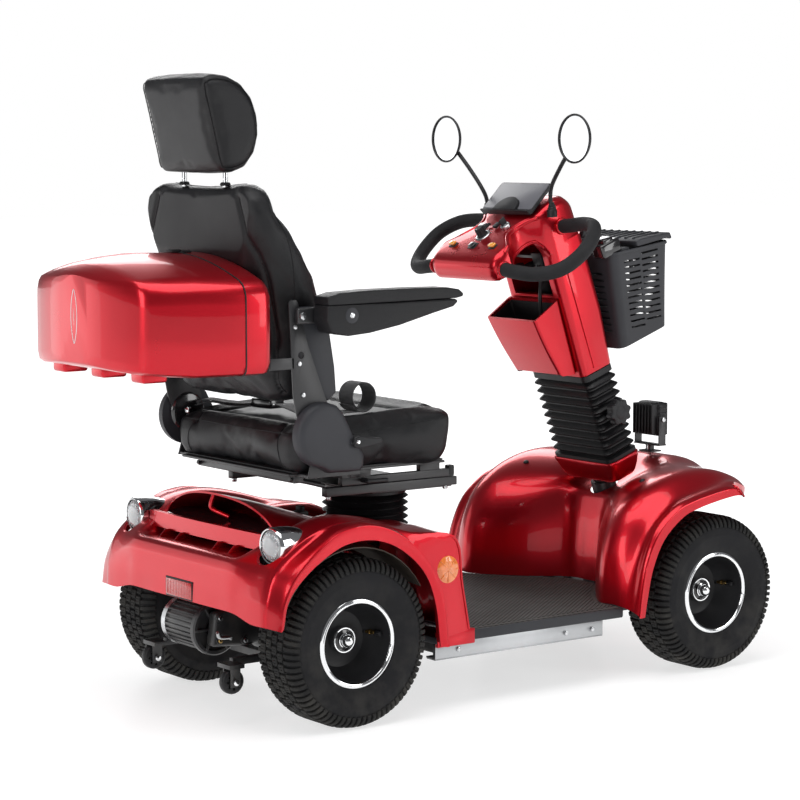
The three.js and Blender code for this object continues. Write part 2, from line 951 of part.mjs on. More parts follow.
// ---------- basket ----------
const basketOuter = loft([
  roundRect(66, 205, -108, 108, 22, 3).map(([v, y]) => [v, y, 226]),
  roundRect(92, 256, -125, 125, 24, 3).map(([v, y]) => [v, y, 436 - (v - 92) * 0.2]),
]);
const basketInner = loft([
  roundRect(70, 201, -104, 104, 20, 3).map(([v, y]) => [v, y, 230]),
  roundRect(97, 253, -122, 122, 22, 3).map(([v, y]) => [v, y, 446 - (v - 92) * 0.2]),
]);
const slots = [];
for (let row = 0; row < 5; row++)
  for (const [v0, v1] of [[108, 148], [158, 200]]) {
    const u = 256 + 30 * row;
    slots.push(box(v0, v1, -140, 140, u, u + 10));
  }
const basketBridge = slab([[96, 432], [149, 422], [149, 430], [94, 441]], -116, 116);
const basketArms = [1, -1].map((s) =>
  rod([112, s * 92, 434], [72, s * 80, 494], 6, 10),
);
add(
  "basket",
  join(
    cut(join(basketOuter, box(60.8, 90, -40, 40, 300, 345)), basketInner, ...slots),
    basketBridge,
    ...basketArms,
  ),
  GREY_PLASTIC,
  tiller,
);
add(
  "basket_lid",
  join(
    slab([[163, 424.5], [163, 438], [262, 421], [264, 405]], -127, 127),
    rod([158, -60, 440], [158, 60, 440], 8, 12),
    box(158, 170, -60, 60, 430, 438),
  ),
  GREY_PLASTIC,
  tiller,
);

// ---------- seat post ----------
const gaiterProfile = [[34, 323]];
const SEAT_PLEATS = 5;
for (let i = 0; i < SEAT_PLEATS; i++) {
  const z0 = 323 + (88 * i) / SEAT_PLEATS;
  gaiterProfile.push([78, z0], [89, z0 + 88 / SEAT_PLEATS / 2]);
}
gaiterProfile.push([78, 411], [34, 411], [34, 323]);
const seatGaiter = turned(gaiterProfile, 18);
seatGaiter.translate(SEAT_X, 0, 0);
add("seat_gaiter", solid(seatGaiter), RUBBER);
add(
  "seat_post",
  join(
    rod([SEAT_X, 0, 172], [SEAT_X, 0, 418], 25, 14),
    rod([SEAT_X, 0, 416], [SEAT_X, 0, 424], 84, 24),
  ),
  BLACK_METAL,
);

// ---------- seat ----------
const slideBase = join(
  box(142, 340, -178, 178, 425, 430),
  ...[1, -1].map((s) => box(22, 342, s * 161, s * 179, 429, 447)),
);
add("seat_slide_base", slideBase, BLACK_METAL);

const HIP_X = -35; // backrest recline axis
const HIP_Z = 562;
const hipCover = (s) =>
  join(
    rod([HIP_X, s * 238.6, HIP_Z], [HIP_X, s * 262, HIP_Z], 64, 24, 60),
    slab(
      [[-70, 512], [-20, 487], [52, 487], [58, 520], [24, 570]],
      s * 238.6,
      s * 258,
    ),
  );
const seatFrame = join(
  box(-80, 300, -206, 206, 479, 485),
  ...[1, -1].flatMap((s) => [
    box(60, 336, s * 163, s * 177, 447.6, 464),
    box(80, 130, s * 163, s * 177, 463, 480),
    box(250, 300, s * 163, s * 177, 463, 480),
    box(-60, 50, s * 200, s * 239, 479, 486),
    box(-60, 50, s * 234, s * 240, 479, 500),
    hipCover(s),
  ]),
);
add("seat_frame", seatFrame, BLACK_METAL);
add(
  "seat_slide_lever",
  join(
    rod([104, -182, 458], [104, -204, 458], 5, 8),
    box(100, 150, -210, -200, 454, 461),
  ),
  BLACK_PLASTIC,
);
add(
  "recline_lever",
  slab([[24, 537], [38, 534], [89, 541], [91, 551], [38, 556], [24, 553]], -262.6, -272),
  BLACK_PLASTIC,
);

const cushionRing = (z, x0, x1, halfY, r) =>
  roundRect(x0, x1, -halfY, halfY, r, 2).map(([x, y]) => [x, y, z]);
const cushion = loft([
  cushionRing(486.5, -72, 292, 205, 30),
  cushionRing(505, -88, 304, 228, 36),
  cushionRing(550, -90, 308, SEAT_HALF, 40),
  roundRect(-74, 298, -218, 218, 40, 2).map(([x, y]) => [x, y, 562 + Math.max(0, x) * 0.12]),
]);
add("seat_cushion", cushion, LEATHER);

const sidePlate = (s) =>
  join(
    slab(
      [[-104, 816], [-84, 820], [-26, 650], [-2, 590], [-8, 540], [-60, 536], [-94, 632]],
      s * 233.4,
      s * 237.8,
    ),
    box(-146, -92, s * 233.4, s * 237.8, 690, 712),
  );
const CROSS_X = -138;
add(
  "backrest_frame",
  join(
    sidePlate(1),
    sidePlate(-1),
    rod([CROSS_X, 237, 701], [CROSS_X, -237, 701], 8, 12),
    ...[1, -1].map((s) => box(-159.4, -136, s * 90, s * 120, 684, 780)),
  ),
  BLACK_METAL,
);
const backRing = (z, x0, x1, halfY, r) =>
  roundRect(x0, x1, -halfY, halfY, r, 2).map(([x, y]) => [x, y, z]);
const backrest = cut(
  loft([
    backRing(592, -86, 4, 170, 30),
    backRing(616, -99, 7, 192, 34),
    backRing(700, -118, -8, 206, 40),
    backRing(800, -127, -18, 208, 40),
    backRing(900, -133, -34, 203, 40),
    backRing(970, -136, -58, 190, 34),
    backRing(1015, -152, -84, 166, 28),
    backRing(1043, -150, -104, 130, 20),
  ]),
  ...[1, -1].map((s) => rod([-140, s * 75, 965], [-140, s * 75, 1060], 6.4, 10)),
);
add("backrest_cushion", backrest, LEATHER);
const headrest = join(
  loft([
    backRing(1064, -184, -122, 92, 24),
    backRing(1090, -203, -102, 128, 34),
    backRing(1140, -206, -97, 136, 38),
    backRing(1200, -204, -104, 132, 38),
    backRing(1232, -190, -122, 118, 28),
    backRing(1250, -172, -144, 96, 12),
  ]),
  ...[1, -1].map((s) => rod([-140, s * 75, 985], [-140, s * 75, 1080], 5, 10)),
);
add("headrest", headrest, LEATHER);

for (const [where, s] of [["left", 1], ["right", -1]])
  add(
    where + "_armrest",
    join(
      slab(
        [
          [-58, 832],
          [0, 838],
          [220, 838],
          [256, 832],
          [264, 824],
          [250, 808],
          [236, 799],
          [110, 768],
          [40, 756],
          [-10, 752],
          [-50, 760],
          [-60, 790],
        ],
        s * 250,
        s * 304,
      ),
      box(-92, -50, s * 238.6, s * 252, 776, 806),
    ),
    LEATHER,
  );

// ---------- rear case ----------
// One cross-section of the case: flat floor, straight sides, crowned top.
function caseRing(x, halfY, floor, side, crown) {
  const half = [
    [0.42, floor],
    [0.9, floor],
    [1, floor + 22],
    [1, side - 26],
    [0.93, side],
    [0.7, side + (crown - side) * 0.55],
    [0.35, side + (crown - side) * 0.88],
  ];
  const right = half.map(([k, z]) => [x, -k * halfY, z]);
  const left = half.map(([k, z]) => [x, k * halfY, z]).reverse();
  return [...right, [x, 0, crown], ...left];
}
const caseBody = (x0, wall) =>
  loft([
    caseRing(x0, 250 - wall, 682 + wall, 856 - wall, 905 - wall),
    caseRing(-300, 234 - wall, 682 + wall, 858 - wall, 907 - wall),
    caseRing(-388 + wall, 212 - wall, 690 + wall, 855 - wall, 902 - wall),
    caseRing(-410 + wall, 178 - wall, 694 + wall, 856 - wall, 900 - wall),
    caseRing(-424 + wall, 120 - wall, 698 + wall, 860 - wall, 897 - wall),
    caseRing(-431 + wall, 56 - wall, 704 + wall, 864 - wall, 892 - wall),
  ]);
add(
  "rear_case_cover",
  cut(caseBody(CASE_SEAM - 0.5, 0), caseBody(CASE_SEAM + 5, 4)),
  RED,
);
const caseBack = cut(
  loft([
    caseRing(CASE_SEAM, 250, 682, 856, 905),
    caseRing(-172, 250, 682, 856, 905),
    caseRing(CASE_FRONT, 240, 690, 848, 897),
  ]),
  loft([
    caseRing(CASE_SEAM - 5, 245, 687, 851, 900),
    caseRing(-176, 245, 687, 851, 900),
    caseRing(-166, 232, 698, 840, 889),
  ]),
);
add(
  "rear_case_base",
  join(caseBack, box(-372, -168, -170, 170, 698, 702), box(-190, -164, -170, 170, 684, 702)),
  BLACK_PLASTIC,
);

// ---------- lap belt, lying fastened across the back of the cushion ----------
const BELT_Z = 576;
const buckle = sheet([[22, 96], [66, 104], [74, 40], [30, 33]], BELT_Z, BELT_Z + 22);
const leftStrap = sheet([[-45, 214], [3, 214], [62, 98], [24, 92]], BELT_Z, BELT_Z + 4);
add("lap_belt_left", join(buckle, leftStrap), WEBBING);
const rightStrap = sheet(
  [[34, 32.4], [70, 38], [30, -214], [-18, -214]],
  BELT_Z,
  BELT_Z + 4,
);
const loopEnd = turnedBody(
  [118, -146, 619],
  [0, 1, 0],
  [[25, -24], [33, -24], [33, 24], [25, 24], [25, -24]],
  16,
);
const loopTail = sheet([[4, -206], [4, -160], [122, -124], [122, -168]], 585, 589);
add(
  "lap_belt_right",
  join(rightStrap, loopEnd, loopTail, box(0, 24, -204, -166, BELT_Z, 589)),
  WEBBING,
);

export default group;
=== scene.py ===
"""Four-wheel mobility scooter: captain seat, rear case, front basket, painted shells.

Pieces are shaped in millimetres, X forward of the rear axle, Y to the rider's left and
Z up from the floor. settle() then puts each one in its place in metres.
"""
import json
import math

import bmesh
import bpy
from mathutils import Matrix, Vector
from mathutils.bvhtree import BVHTree
from mathutils.kdtree import KDTree

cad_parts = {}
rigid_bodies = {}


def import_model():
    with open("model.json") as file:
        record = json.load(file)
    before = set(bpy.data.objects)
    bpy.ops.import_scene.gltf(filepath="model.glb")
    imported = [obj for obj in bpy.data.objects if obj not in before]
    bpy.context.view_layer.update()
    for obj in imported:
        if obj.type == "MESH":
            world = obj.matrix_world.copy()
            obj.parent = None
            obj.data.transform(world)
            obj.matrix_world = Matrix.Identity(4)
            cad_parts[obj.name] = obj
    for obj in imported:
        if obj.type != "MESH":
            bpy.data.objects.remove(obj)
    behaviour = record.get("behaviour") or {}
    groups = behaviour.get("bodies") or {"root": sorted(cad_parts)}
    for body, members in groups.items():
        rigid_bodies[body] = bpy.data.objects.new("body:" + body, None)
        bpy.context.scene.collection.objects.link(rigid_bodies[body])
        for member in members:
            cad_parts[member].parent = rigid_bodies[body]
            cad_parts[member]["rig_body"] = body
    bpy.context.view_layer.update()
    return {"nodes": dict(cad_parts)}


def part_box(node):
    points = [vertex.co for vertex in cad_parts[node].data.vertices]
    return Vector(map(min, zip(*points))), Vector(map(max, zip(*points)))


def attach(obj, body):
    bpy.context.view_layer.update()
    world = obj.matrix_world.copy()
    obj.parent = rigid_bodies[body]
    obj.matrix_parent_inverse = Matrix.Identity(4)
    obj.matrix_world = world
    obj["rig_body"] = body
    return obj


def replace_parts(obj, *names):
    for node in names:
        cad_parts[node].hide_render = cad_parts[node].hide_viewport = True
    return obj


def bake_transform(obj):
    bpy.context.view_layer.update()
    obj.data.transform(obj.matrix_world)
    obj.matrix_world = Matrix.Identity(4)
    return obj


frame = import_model()
NODES = frame["nodes"]

# ---------- places taken from the frame ----------
MM = 0.001


def middle(node):
    low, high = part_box(node)
    return (low + high) / 2


REAR_AXLE = middle("rear_left_tyre")
FRONT_AXLE = middle("front_left_tyre")
WHEELBASE = (FRONT_AXLE.x - REAR_AXLE.x) / MM
TYRE_R = REAR_AXLE.z / MM
TRACK_HALF = REAR_AXLE.y / MM
LIP_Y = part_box("rear_body_shell")[1].y / MM
SHELL = 4
DECK_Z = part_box("floor_pan")[1].z / MM
LEAN = math.radians(20.3)
COLUMN_X = 862
COLUMN_Z = 440
PIVOT_U = 108
SEAT_X = (middle("seat_post").x - REAR_AXLE.x) / MM

# body places: millimetres from the rear axle to metres in the frame
BODY = Matrix.Translation((REAR_AXLE.x, 0, 0)) @ Matrix.Scale(MM, 4)
# tiller places: x forward of the column, y left, z up along it
UP_COLUMN = Matrix(
    (
        (math.cos(LEAN), 0, -math.sin(LEAN), COLUMN_X),
        (0, 1, 0, 0),
        (math.sin(LEAN), 0, math.cos(LEAN), COLUMN_Z),
        (0, 0, 0, 1),
    )
)
TILLER = BODY @ UP_COLUMN
SIDES = (("left", 1), ("right", -1))


# ---------- shaping ----------
def clear():
    """Nothing stays selected, so an operator acts on the new piece alone."""
    bpy.ops.object.select_all(action="DESELECT")


def only(obj):
    clear()
    obj.select_set(True)
    bpy.context.view_layer.objects.active = obj


def named(name):
    obj = bpy.context.object
    obj.name = name
    obj.data.name = name
    return obj


def place_applied(obj):
    only(obj)
    bpy.ops.object.transform_apply(location=True, rotation=True, scale=True)
    return obj


def with_modifier(obj, kind, **settings):
    """Adds a modifier with these settings and applies it."""
    only(obj)
    made = obj.modifiers.new(kind.title(), kind)
    for key, value in settings.items():
        setattr(made, key, value)
    bpy.ops.object.modifier_apply(modifier=made.name)
    return obj


def rounded(obj, width, rows=3, angle=30):
    """Rounds the edges that are sharper than angle."""
    if width > 0:
        with_modifier(
            obj,
            "BEVEL",
            width=width,
            segments=rows,
            limit_method="ANGLE",
            angle_limit=math.radians(angle),
        )
    return obj


def block(name, x, y, z, edge=1.0, rows=2):
    """A box between three pairs of limits, with rounded edges."""
    clear()
    centre = [(a + b) / 2 for a, b in (x, y, z)]
    size = [abs(b - a) for a, b in (x, y, z)]
    bpy.ops.mesh.primitive_cube_add(size=1, location=centre, scale=size)
    obj = place_applied(named(name))
    return rounded(obj, edge, rows)


def turn_to(axis):
    """The rotation that brings Z onto an axis."""
    return Vector((0, 0, 1)).rotation_difference(Vector(axis).normalized())


def drum(name, start, end, radius, edge=0.8, sides=32, end_radius=None):
    """A round bar or cone between two points, with rounded rims."""
    clear()
    a, b = Vector(start), Vector(end)
    bpy.ops.mesh.primitive_cone_add(
        vertices=sides,
        radius1=radius,
        radius2=radius if end_radius is None else end_radius,
        depth=(b - a).length,
        location=(a + b) / 2,
        rotation=turn_to(b - a).to_euler(),
    )
    return rounded(place_applied(named(name)), edge, 2, 50)


def line_mesh(name, points, closed):
    mesh = bpy.data.meshes.new(name)
    edges = [(i, i + 1) for i in range(len(points) - 1)]
    if closed:
        edges.append((len(points) - 1, 0))
    mesh.from_pydata([tuple(p) for p in points], edges, [])
    obj = bpy.data.objects.new(name, mesh)
    bpy.context.scene.collection.objects.link(obj)
    return obj


def turned(name, profile, at=(0, 0, 0), axis=(0, 0, 1), steps=64, closed=False):
    """A turned piece: (radius, height) points spun about an axis through a point."""
    obj = line_mesh(name, [(r, 0, h) for r, h in profile], closed)
    with_modifier(
        obj,
        "SCREW",
        steps=steps,
        render_steps=steps,
        use_merge_vertices=True,
        merge_threshold=0.001,
    )
    outward(obj)
    obj.data.transform(Matrix.Translation(at) @ turn_to(axis).to_matrix().to_4x4())
    return obj


def outward(obj):
    """Merges doubles and turns every face outwards."""
    only(obj)
    bpy.ops.object.mode_set(mode="EDIT")
    bpy.ops.mesh.select_all(action="SELECT")
    bpy.ops.mesh.remove_doubles(threshold=0.001)
    bpy.ops.mesh.normals_make_consistent(inside=False)
    bpy.ops.object.mode_set(mode="OBJECT")
    return obj


def curve_through(points, count, closed=False):
    """Catmull-Rom points through a list of points."""
    pts = [Vector(p) for p in points]
    n = len(pts)
    spans = n if closed else n - 1
    out = []
    for i in range(count):
        t = i / (count if closed else count - 1) * spans
        k = min(int(t), spans - 1)
        f = t - k
        if closed:
            a, b, c, d = (pts[(k + j) % n] for j in (-1, 0, 1, 2))
        else:
            b, c = pts[k], pts[k + 1]
            a = pts[k - 1] if k else b * 2 - c
            d = pts[k + 2] if k + 2 < n else c * 2 - b
        out.append(
            (2 * b + (c - a) * f + (2 * a - 5 * b + 4 * c - d) * f * f
             + (3 * b - a - 3 * c + d) * f ** 3) / 2
        )
    return out


def pipe(name, points, radius, count=40, sides=6, closed=False, smooth=True):
    """A round bar along a path."""
    path = curve_through(points, count, closed) if smooth else [Vector(p) for p in points]
    data = bpy.data.curves.new(name, "CURVE")
    data.dimensions = "3D"
    data.bevel_depth = radius
    data.bevel_resolution = sides // 2
    data.use_fill_caps = not closed
    spline = data.splines.new("POLY")
    spline.points.add(len(path) - 1)
    spline.use_cyclic_u = closed
    for point, place in zip(spline.points, path):
        point.co = (*place, 1)
    obj = bpy.data.objects.new(name, data)
    bpy.context.scene.collection.objects.link(obj)
    only(obj)
    bpy.ops.object.convert(target="MESH")
    return outward(named(name))


def skin(name, rings, capped=True, ring_closed=True):
    """A surface through a stack of rings that hold the same number of points."""
    n = len(rings[0])
    faces = []
    for k in range(len(rings) - 1):
        for i in range(n if ring_closed else n - 1):
            j = (i + 1) % n
            faces.append((k * n + i, k * n + j, (k + 1) * n + j, (k + 1) * n + i))
    if capped:
        faces.append(tuple(range(n)))
        last = (len(rings) - 1) * n
        faces.append(tuple(last + i for i in range(n)))
    mesh = bpy.data.meshes.new(name)
    mesh.from_pydata([tuple(p) for ring in rings for p in ring], [], faces)
    obj = bpy.data.objects.new(name, mesh)
    bpy.context.scene.collection.objects.link(obj)
    return outward(obj)


def plate(name, outline, depth, to_space, edge=1.0, rows=2):
    """A flat outline given depth: to_space turns (a, b, depth) into a place."""
    low, high = depth
    bottom = [to_space(a, b, low) for a, b in outline]
    top = [to_space(a, b, high) for a, b in outline]
    return rounded(skin(name, [bottom, top]), edge, rows)


def side_plate(name, outline, y0, y1, edge=1.0, rows=2):
    """A side profile of (x, z) points between two y values."""
    return plate(name, outline, (y0, y1), lambda a, b, d: (a, d, b), edge, rows)


def plan_plate(name, outline, z0, z1, edge=1.0, rows=2):
    """A plan outline of (x, y) points between two heights."""
    return plate(name, outline, (z0, z1), lambda a, b, d: (a, b, d), edge, rows)


def round_rect(a0, a1, b0, b1, r, corner=5):
    """Points round a rounded rectangle."""
    out = []
    centres = ((a1 - r, b1 - r, 0), (a0 + r, b1 - r, 90), (a0 + r, b0 + r, 180), (a1 - r, b0 + r, 270))
    for ca, cb, first in centres:
        for i in range(corner + 1):
            t = math.radians(first + 90 * i / corner)
            out.append((ca + r * math.cos(t), cb + r * math.sin(t)))
    return out


def joined(name, *objs):
    """Several meshes as one piece."""
    only(objs[0])
    for obj in objs[1:]:
        obj.select_set(True)
    bpy.ops.object.join()
    return named(name)


def copied(obj, name, move=None):
    """Another of the same piece with its own mesh, moved by a matrix."""
    new = bpy.data.objects.new(name, obj.data.copy())
    bpy.context.scene.collection.objects.link(new)
    if move is not None:
        new.data.transform(move)
        if move.determinant() < 0:
            new.data.flip_normals()
    return new


def cut(obj, *tools):
    """Takes the tools out of a piece."""
    for tool in tools:
        with_modifier(obj, "BOOLEAN", object=tool, operation="DIFFERENCE", solver="EXACT")
        bpy.data.objects.remove(tool)
    return obj


def around(obj, count, centre, axis):
    """Repeats everything in a mesh round an axis."""
    only(obj)
    bpy.ops.object.mode_set(mode="EDIT")
    bpy.ops.mesh.select_all(action="SELECT")
    bpy.ops.mesh.spin(
        steps=count - 1,
        angle=2 * math.pi * (count - 1) / count,
        center=centre,
        axis=axis,
        dupli=True,
    )
    bpy.ops.object.mode_set(mode="OBJECT")
    return obj


def settle(obj, place, body, material, smooth=35, levels=0, edge=0.0):
    """Puts a finished piece in its place in metres, on its body, with its finish."""
    obj.data.transform(place)
    obj.data.materials.clear()
    obj.data.materials.append(material)
    if levels:
        made = obj.modifiers.new("Subdivision", "SUBSURF")
        made.levels = levels
        made.render_levels = levels
    if edge:
        made = obj.modifiers.new("Edge", "BEVEL")
        made.width = edge
        made.segments = 2
        made.limit_method = "ANGLE"
    only(obj)
    if smooth >= 180:
        bpy.ops.object.shade_smooth()
    elif smooth:
        bpy.ops.object.shade_smooth_by_angle(angle=math.radians(smooth))
    if body:
        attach(obj, body)
    return obj


# ---------- finishes ----------
def socket_list(tree, inputs, outputs):
    for name, kind, value in inputs:
        made = tree.interface.new_socket(name, in_out="INPUT", socket_type=kind)
        if value is not None:
            made.default_value = value
    for name, kind in outputs:
        tree.interface.new_socket(name, in_out="OUTPUT", socket_type=kind)
    return tree.nodes.new("NodeGroupInput"), tree.nodes.new("NodeGroupOutput")


def noise_node(tree, vector, scale, detail=4.0, rough=0.55):
    node = tree.nodes.new("ShaderNodeTexNoise")
    node.inputs["Detail"].default_value = detail
    node.inputs["Roughness"].default_value = rough
    tree.links.new(vector, node.inputs["Vector"])
    if isinstance(scale, (int, float)):
        node.inputs["Scale"].default_value = scale
    else:
        tree.links.new(scale, node.inputs["Scale"])
    return node.outputs["Fac"]


def spread(tree, value, low, high, to_low=0.0, to_high=1.0):
    """Stretches a value between two limits over a new range."""
    node = tree.nodes.new("ShaderNodeMapRange")
    tree.links.new(value, node.inputs["Value"])
    node.inputs["From Min"].default_value = low
    node.inputs["From Max"].default_value = high
    node.inputs["To Min"].default_value = to_low
    node.inputs["To Max"].default_value = to_high
    return node.outputs["Result"]


def calc(tree, operation, a, b=0.0):
    node = tree.nodes.new("ShaderNodeMath")
    node.operation = operation
    for socket, value in zip(node.inputs, (a, b)):
        if isinstance(value, (int, float)):
            socket.default_value = value
        else:
            tree.links.new(value, socket)
    return node.outputs["Value"]


def grain_group():
    """Fine moulded or sprayed grain: a height, and slow patches over the surface."""
    tree = bpy.data.node_groups.new("fine_grain", "ShaderNodeTree")
    inside, outside = socket_list(
        tree,
        (
            ("Vector", "NodeSocketVector", None),
            ("Grain scale", "NodeSocketFloat", 900.0),
            ("Patch scale", "NodeSocketFloat", 9.0),
        ),
        (("Height", "NodeSocketFloat"), ("Patches", "NodeSocketFloat"), ("Specks", "NodeSocketFloat")),
    )
    vector = inside.outputs["Vector"]
    grain = noise_node(tree, vector, inside.outputs["Grain scale"], 3.0)
    patches = noise_node(tree, vector, inside.outputs["Patch scale"], 5.0)
    tree.links.new(grain, outside.inputs["Height"])
    tree.links.new(spread(tree, patches, 0.3, 0.7), outside.inputs["Patches"])
    tree.links.new(spread(tree, grain, 0.62, 0.74), outside.inputs["Specks"])
    return tree


def leather_group():
    """Leather pebble: rounded cells between fine creases, with slow broad wrinkles, and a mask for painted
    shade in the creases.
    """
    tree = bpy.data.node_groups.new("leather_pebble", "ShaderNodeTree")
    inside, outside = socket_list(
        tree,
        (("Vector", "NodeSocketVector", None), ("Pebble scale", "NodeSocketFloat", 520.0)),
        (("Height", "NodeSocketFloat"), ("Crease shade", "NodeSocketFloat"), ("Patches", "NodeSocketFloat")),
    )
    vector = inside.outputs["Vector"]
    cells = tree.nodes.new("ShaderNodeTexVoronoi")
    cells.feature = "DISTANCE_TO_EDGE"
    tree.links.new(vector, cells.inputs["Vector"])
    tree.links.new(inside.outputs["Pebble scale"], cells.inputs["Scale"])
    pebble = spread(tree, cells.outputs["Distance"], 0.0, 0.22)
    wrinkles = noise_node(tree, vector, 34.0, 6.0, 0.6)
    tree.links.new(
        calc(tree, "ADD", calc(tree, "MULTIPLY", pebble, 0.35), wrinkles),
        outside.inputs["Height"],
    )
    tree.links.new(pebble, outside.inputs["Crease shade"])
    tree.links.new(spread(tree, noise_node(tree, vector, 7.0), 0.32, 0.68), outside.inputs["Patches"])
    return tree


def dust_group():
    """Road dust that gathers low on a piece and in soft patches."""
    tree = bpy.data.node_groups.new("road_dust", "ShaderNodeTree")
    inside, outside = socket_list(
        tree,
        (("Vector", "NodeSocketVector", None), ("Top", "NodeSocketFloat", 0.3)),
        (("Dust", "NodeSocketFloat"),),
    )
    parts = tree.nodes.new("ShaderNodeSeparateXYZ")
    tree.links.new(inside.outputs["Vector"], parts.inputs["Vector"])
    low = calc(tree, "SUBTRACT", 1.0, calc(tree, "DIVIDE", parts.outputs["Z"], inside.outputs["Top"]))
    patches = spread(tree, noise_node(tree, inside.outputs["Vector"], 26.0, 6.0), 0.42, 0.75)
    held = calc(tree, "MULTIPLY", patches, spread(tree, low, -0.2, 1.0))
    tree.links.new(held, outside.inputs["Dust"])
    return tree


def weave_group():
    """Diagonal ribs crossed by fine threads, for webbing."""
    tree = bpy.data.node_groups.new("webbing_weave", "ShaderNodeTree")
    inside, outside = socket_list(
        tree,
        (("Vector", "NodeSocketVector", None),),
        (("Height", "NodeSocketFloat"),),
    )
    ribs = []
    for direction, scale in (("X", 420.0), ("Y", 420.0), ("DIAGONAL", 300.0)):
        wave = tree.nodes.new("ShaderNodeTexWave")
        wave.bands_direction = direction
        wave.inputs["Scale"].default_value = scale
        tree.links.new(inside.outputs["Vector"], wave.inputs["Vector"])
        ribs.append(wave.outputs["Fac"])
    total = calc(tree, "ADD", calc(tree, "ADD", ribs[0], ribs[1]), ribs[2])
    tree.links.new(total, outside.inputs["Height"])
    return tree


GRAIN = grain_group()
PEBBLE = leather_group()
DUST = dust_group()
WEAVE = weave_group()


def new_material(name):
    material = bpy.data.materials.new(name)
    material.use_nodes = True
    tree = material.node_tree
    shader = tree.nodes["Principled BSDF"]
    coordinates = tree.nodes.new("ShaderNodeTexCoord")
    mapping = tree.nodes.new("ShaderNodeMapping")
    tree.links.new(coordinates.outputs["Object"], mapping.inputs["Vector"])
    return material, tree, shader, mapping.outputs["Vector"]


def use_group(tree, group, vector, **values):
    node = tree.nodes.new("ShaderNodeGroup")
    node.node_tree = group
    tree.links.new(vector, node.inputs["Vector"])
    for key, value in values.items():
        node.inputs[key.replace("_", " ")].default_value = value
    return node.outputs


def mix(tree, mask, low, high):
    """Blends two colours, or colour outputs, by a mask."""
    node = tree.nodes.new("ShaderNodeMix")
    node.data_type = "RGBA"
    tree.links.new(mask, node.inputs["Factor"])
    for socket, value in ((node.inputs["A"], low), (node.inputs["B"], high)):
        if isinstance(value, tuple):
            socket.default_value = (*value, 1)
        else:
            tree.links.new(value, socket)
    return node.outputs["Result"]


def bump(tree, shader, height, strength, distance):
    node = tree.nodes.new("ShaderNodeBump")
    node.inputs["Strength"].default_value = strength
    node.inputs["Distance"].default_value = distance
    tree.links.new(height, node.inputs["Height"])
    tree.links.new(node.outputs["Normal"], shader.inputs["Normal"])


def constants(shader, **values):
    """Sets shader sockets that are the same all over the surface."""
    for key, value in values.items():
        shader.inputs[key.replace("_", " ")].default_value = value


def moulded(name, low, high, rough, grain=900.0, patch=9.0, depth=0.0002, relief=0.25, dust=0.0, **fixed):
    """A moulded, cast or sprayed finish: two close colours, a roughness range and a grain."""
    material, tree, shader, vector = new_material(name)
    out = use_group(tree, GRAIN, vector, Grain_scale=grain, Patch_scale=patch)
    colour = mix(tree, out["Patches"], low, high)
    if dust:
        dusty = use_group(tree, DUST, vector, Top=0.33)["Dust"]
        colour = mix(tree, calc(tree, "MULTIPLY", dusty, dust), colour, (0.16, 0.15, 0.13))
    tree.links.new(colour, shader.inputs["Base Color"])
    tree.links.new(spread(tree, out["Patches"], 0, 1, *rough), shader.inputs["Roughness"])
    bump(tree, shader, out["Height"], relief, depth)
    constants(shader, **fixed)
    return material


def candy_red():
    """Clear-coated metallic red with fine flake."""
    material, tree, shader, vector = new_material("candy_red_paint")
    out = use_group(tree, GRAIN, vector, Grain_scale=1900.0, Patch_scale=5.0)
    base = mix(tree, out["Patches"], (0.46, 0.003, 0.012), (0.54, 0.005, 0.016))
    flaked = mix(tree, out["Specks"], base, (0.70, 0.02, 0.03))
    tree.links.new(flaked, shader.inputs["Base Color"])
    tree.links.new(spread(tree, out["Patches"], 0, 1, 0.27, 0.33), shader.inputs["Roughness"])
    bump(tree, shader, out["Height"], 0.04, 0.0001)
    constants(shader, Metallic=0.78, Coat_Weight=0.42, Coat_Roughness=0.03, Coat_IOR=1.45)
    return material


def leather(name, low, high, rough):
    """Black upholstery leather with a pebble grain, broad soft wrinkles and painted shade in the pebble
    creases.
    """
    material, tree, shader, vector = new_material(name)
    out = use_group(tree, PEBBLE, vector, Pebble_scale=620.0)
    colour = mix(tree, out["Patches"], low, high)
    # painted shade: the pebble creases are darkened towards black
    shaded = mix(tree, out["Crease shade"], (0.006, 0.006, 0.007), colour)
    tree.links.new(shaded, shader.inputs["Base Color"])
    tree.links.new(spread(tree, out["Patches"], 0, 1, *rough), shader.inputs["Roughness"])
    bump(tree, shader, out["Height"], 0.35, 0.0012)
    constants(shader, Specular_IOR_Level=0.3)
    return material


def webbing():
    material, tree, shader, vector = new_material("belt_webbing")
    weave = use_group(tree, WEAVE, vector)["Height"]
    tree.links.new(
        mix(tree, spread(tree, weave, 0, 3), (0.006, 0.006, 0.007), (0.03, 0.03, 0.034)),
        shader.inputs["Base Color"],
    )
    tree.links.new(spread(tree, weave, 0, 3, 0.5, 0.8), shader.inputs["Roughness"])
    bump(tree, shader, weave, 0.5, 0.0004)
    constants(shader, Sheen_Weight=0.3)
    return material


def ribbed_mat():
    """Rubber matting: fine diagonal ribs pressed into the sheet."""
    material, tree, shader, vector = new_material("ribbed_matting")
    wave = tree.nodes.new("ShaderNodeTexWave")
    wave.bands_direction = "DIAGONAL"
    wave.inputs["Scale"].default_value = 46.0
    wave.inputs["Distortion"].default_value = 0.3
    tree.links.new(vector, wave.inputs["Vector"])
    out = use_group(tree, GRAIN, vector, Grain_scale=500.0, Patch_scale=12.0)
    ribs = mix(tree, wave.outputs["Fac"], (0.022, 0.021, 0.02), (0.06, 0.056, 0.052))
    tree.links.new(
        mix(tree, calc(tree, "MULTIPLY", out["Patches"], 0.35), ribs, (0.075, 0.07, 0.064)),
        shader.inputs["Base Color"],
    )
    tree.links.new(spread(tree, out["Patches"], 0, 1, 0.62, 0.82), shader.inputs["Roughness"])
    bump(tree, shader, wave.outputs["Fac"], 0.6, 0.002)
    return material


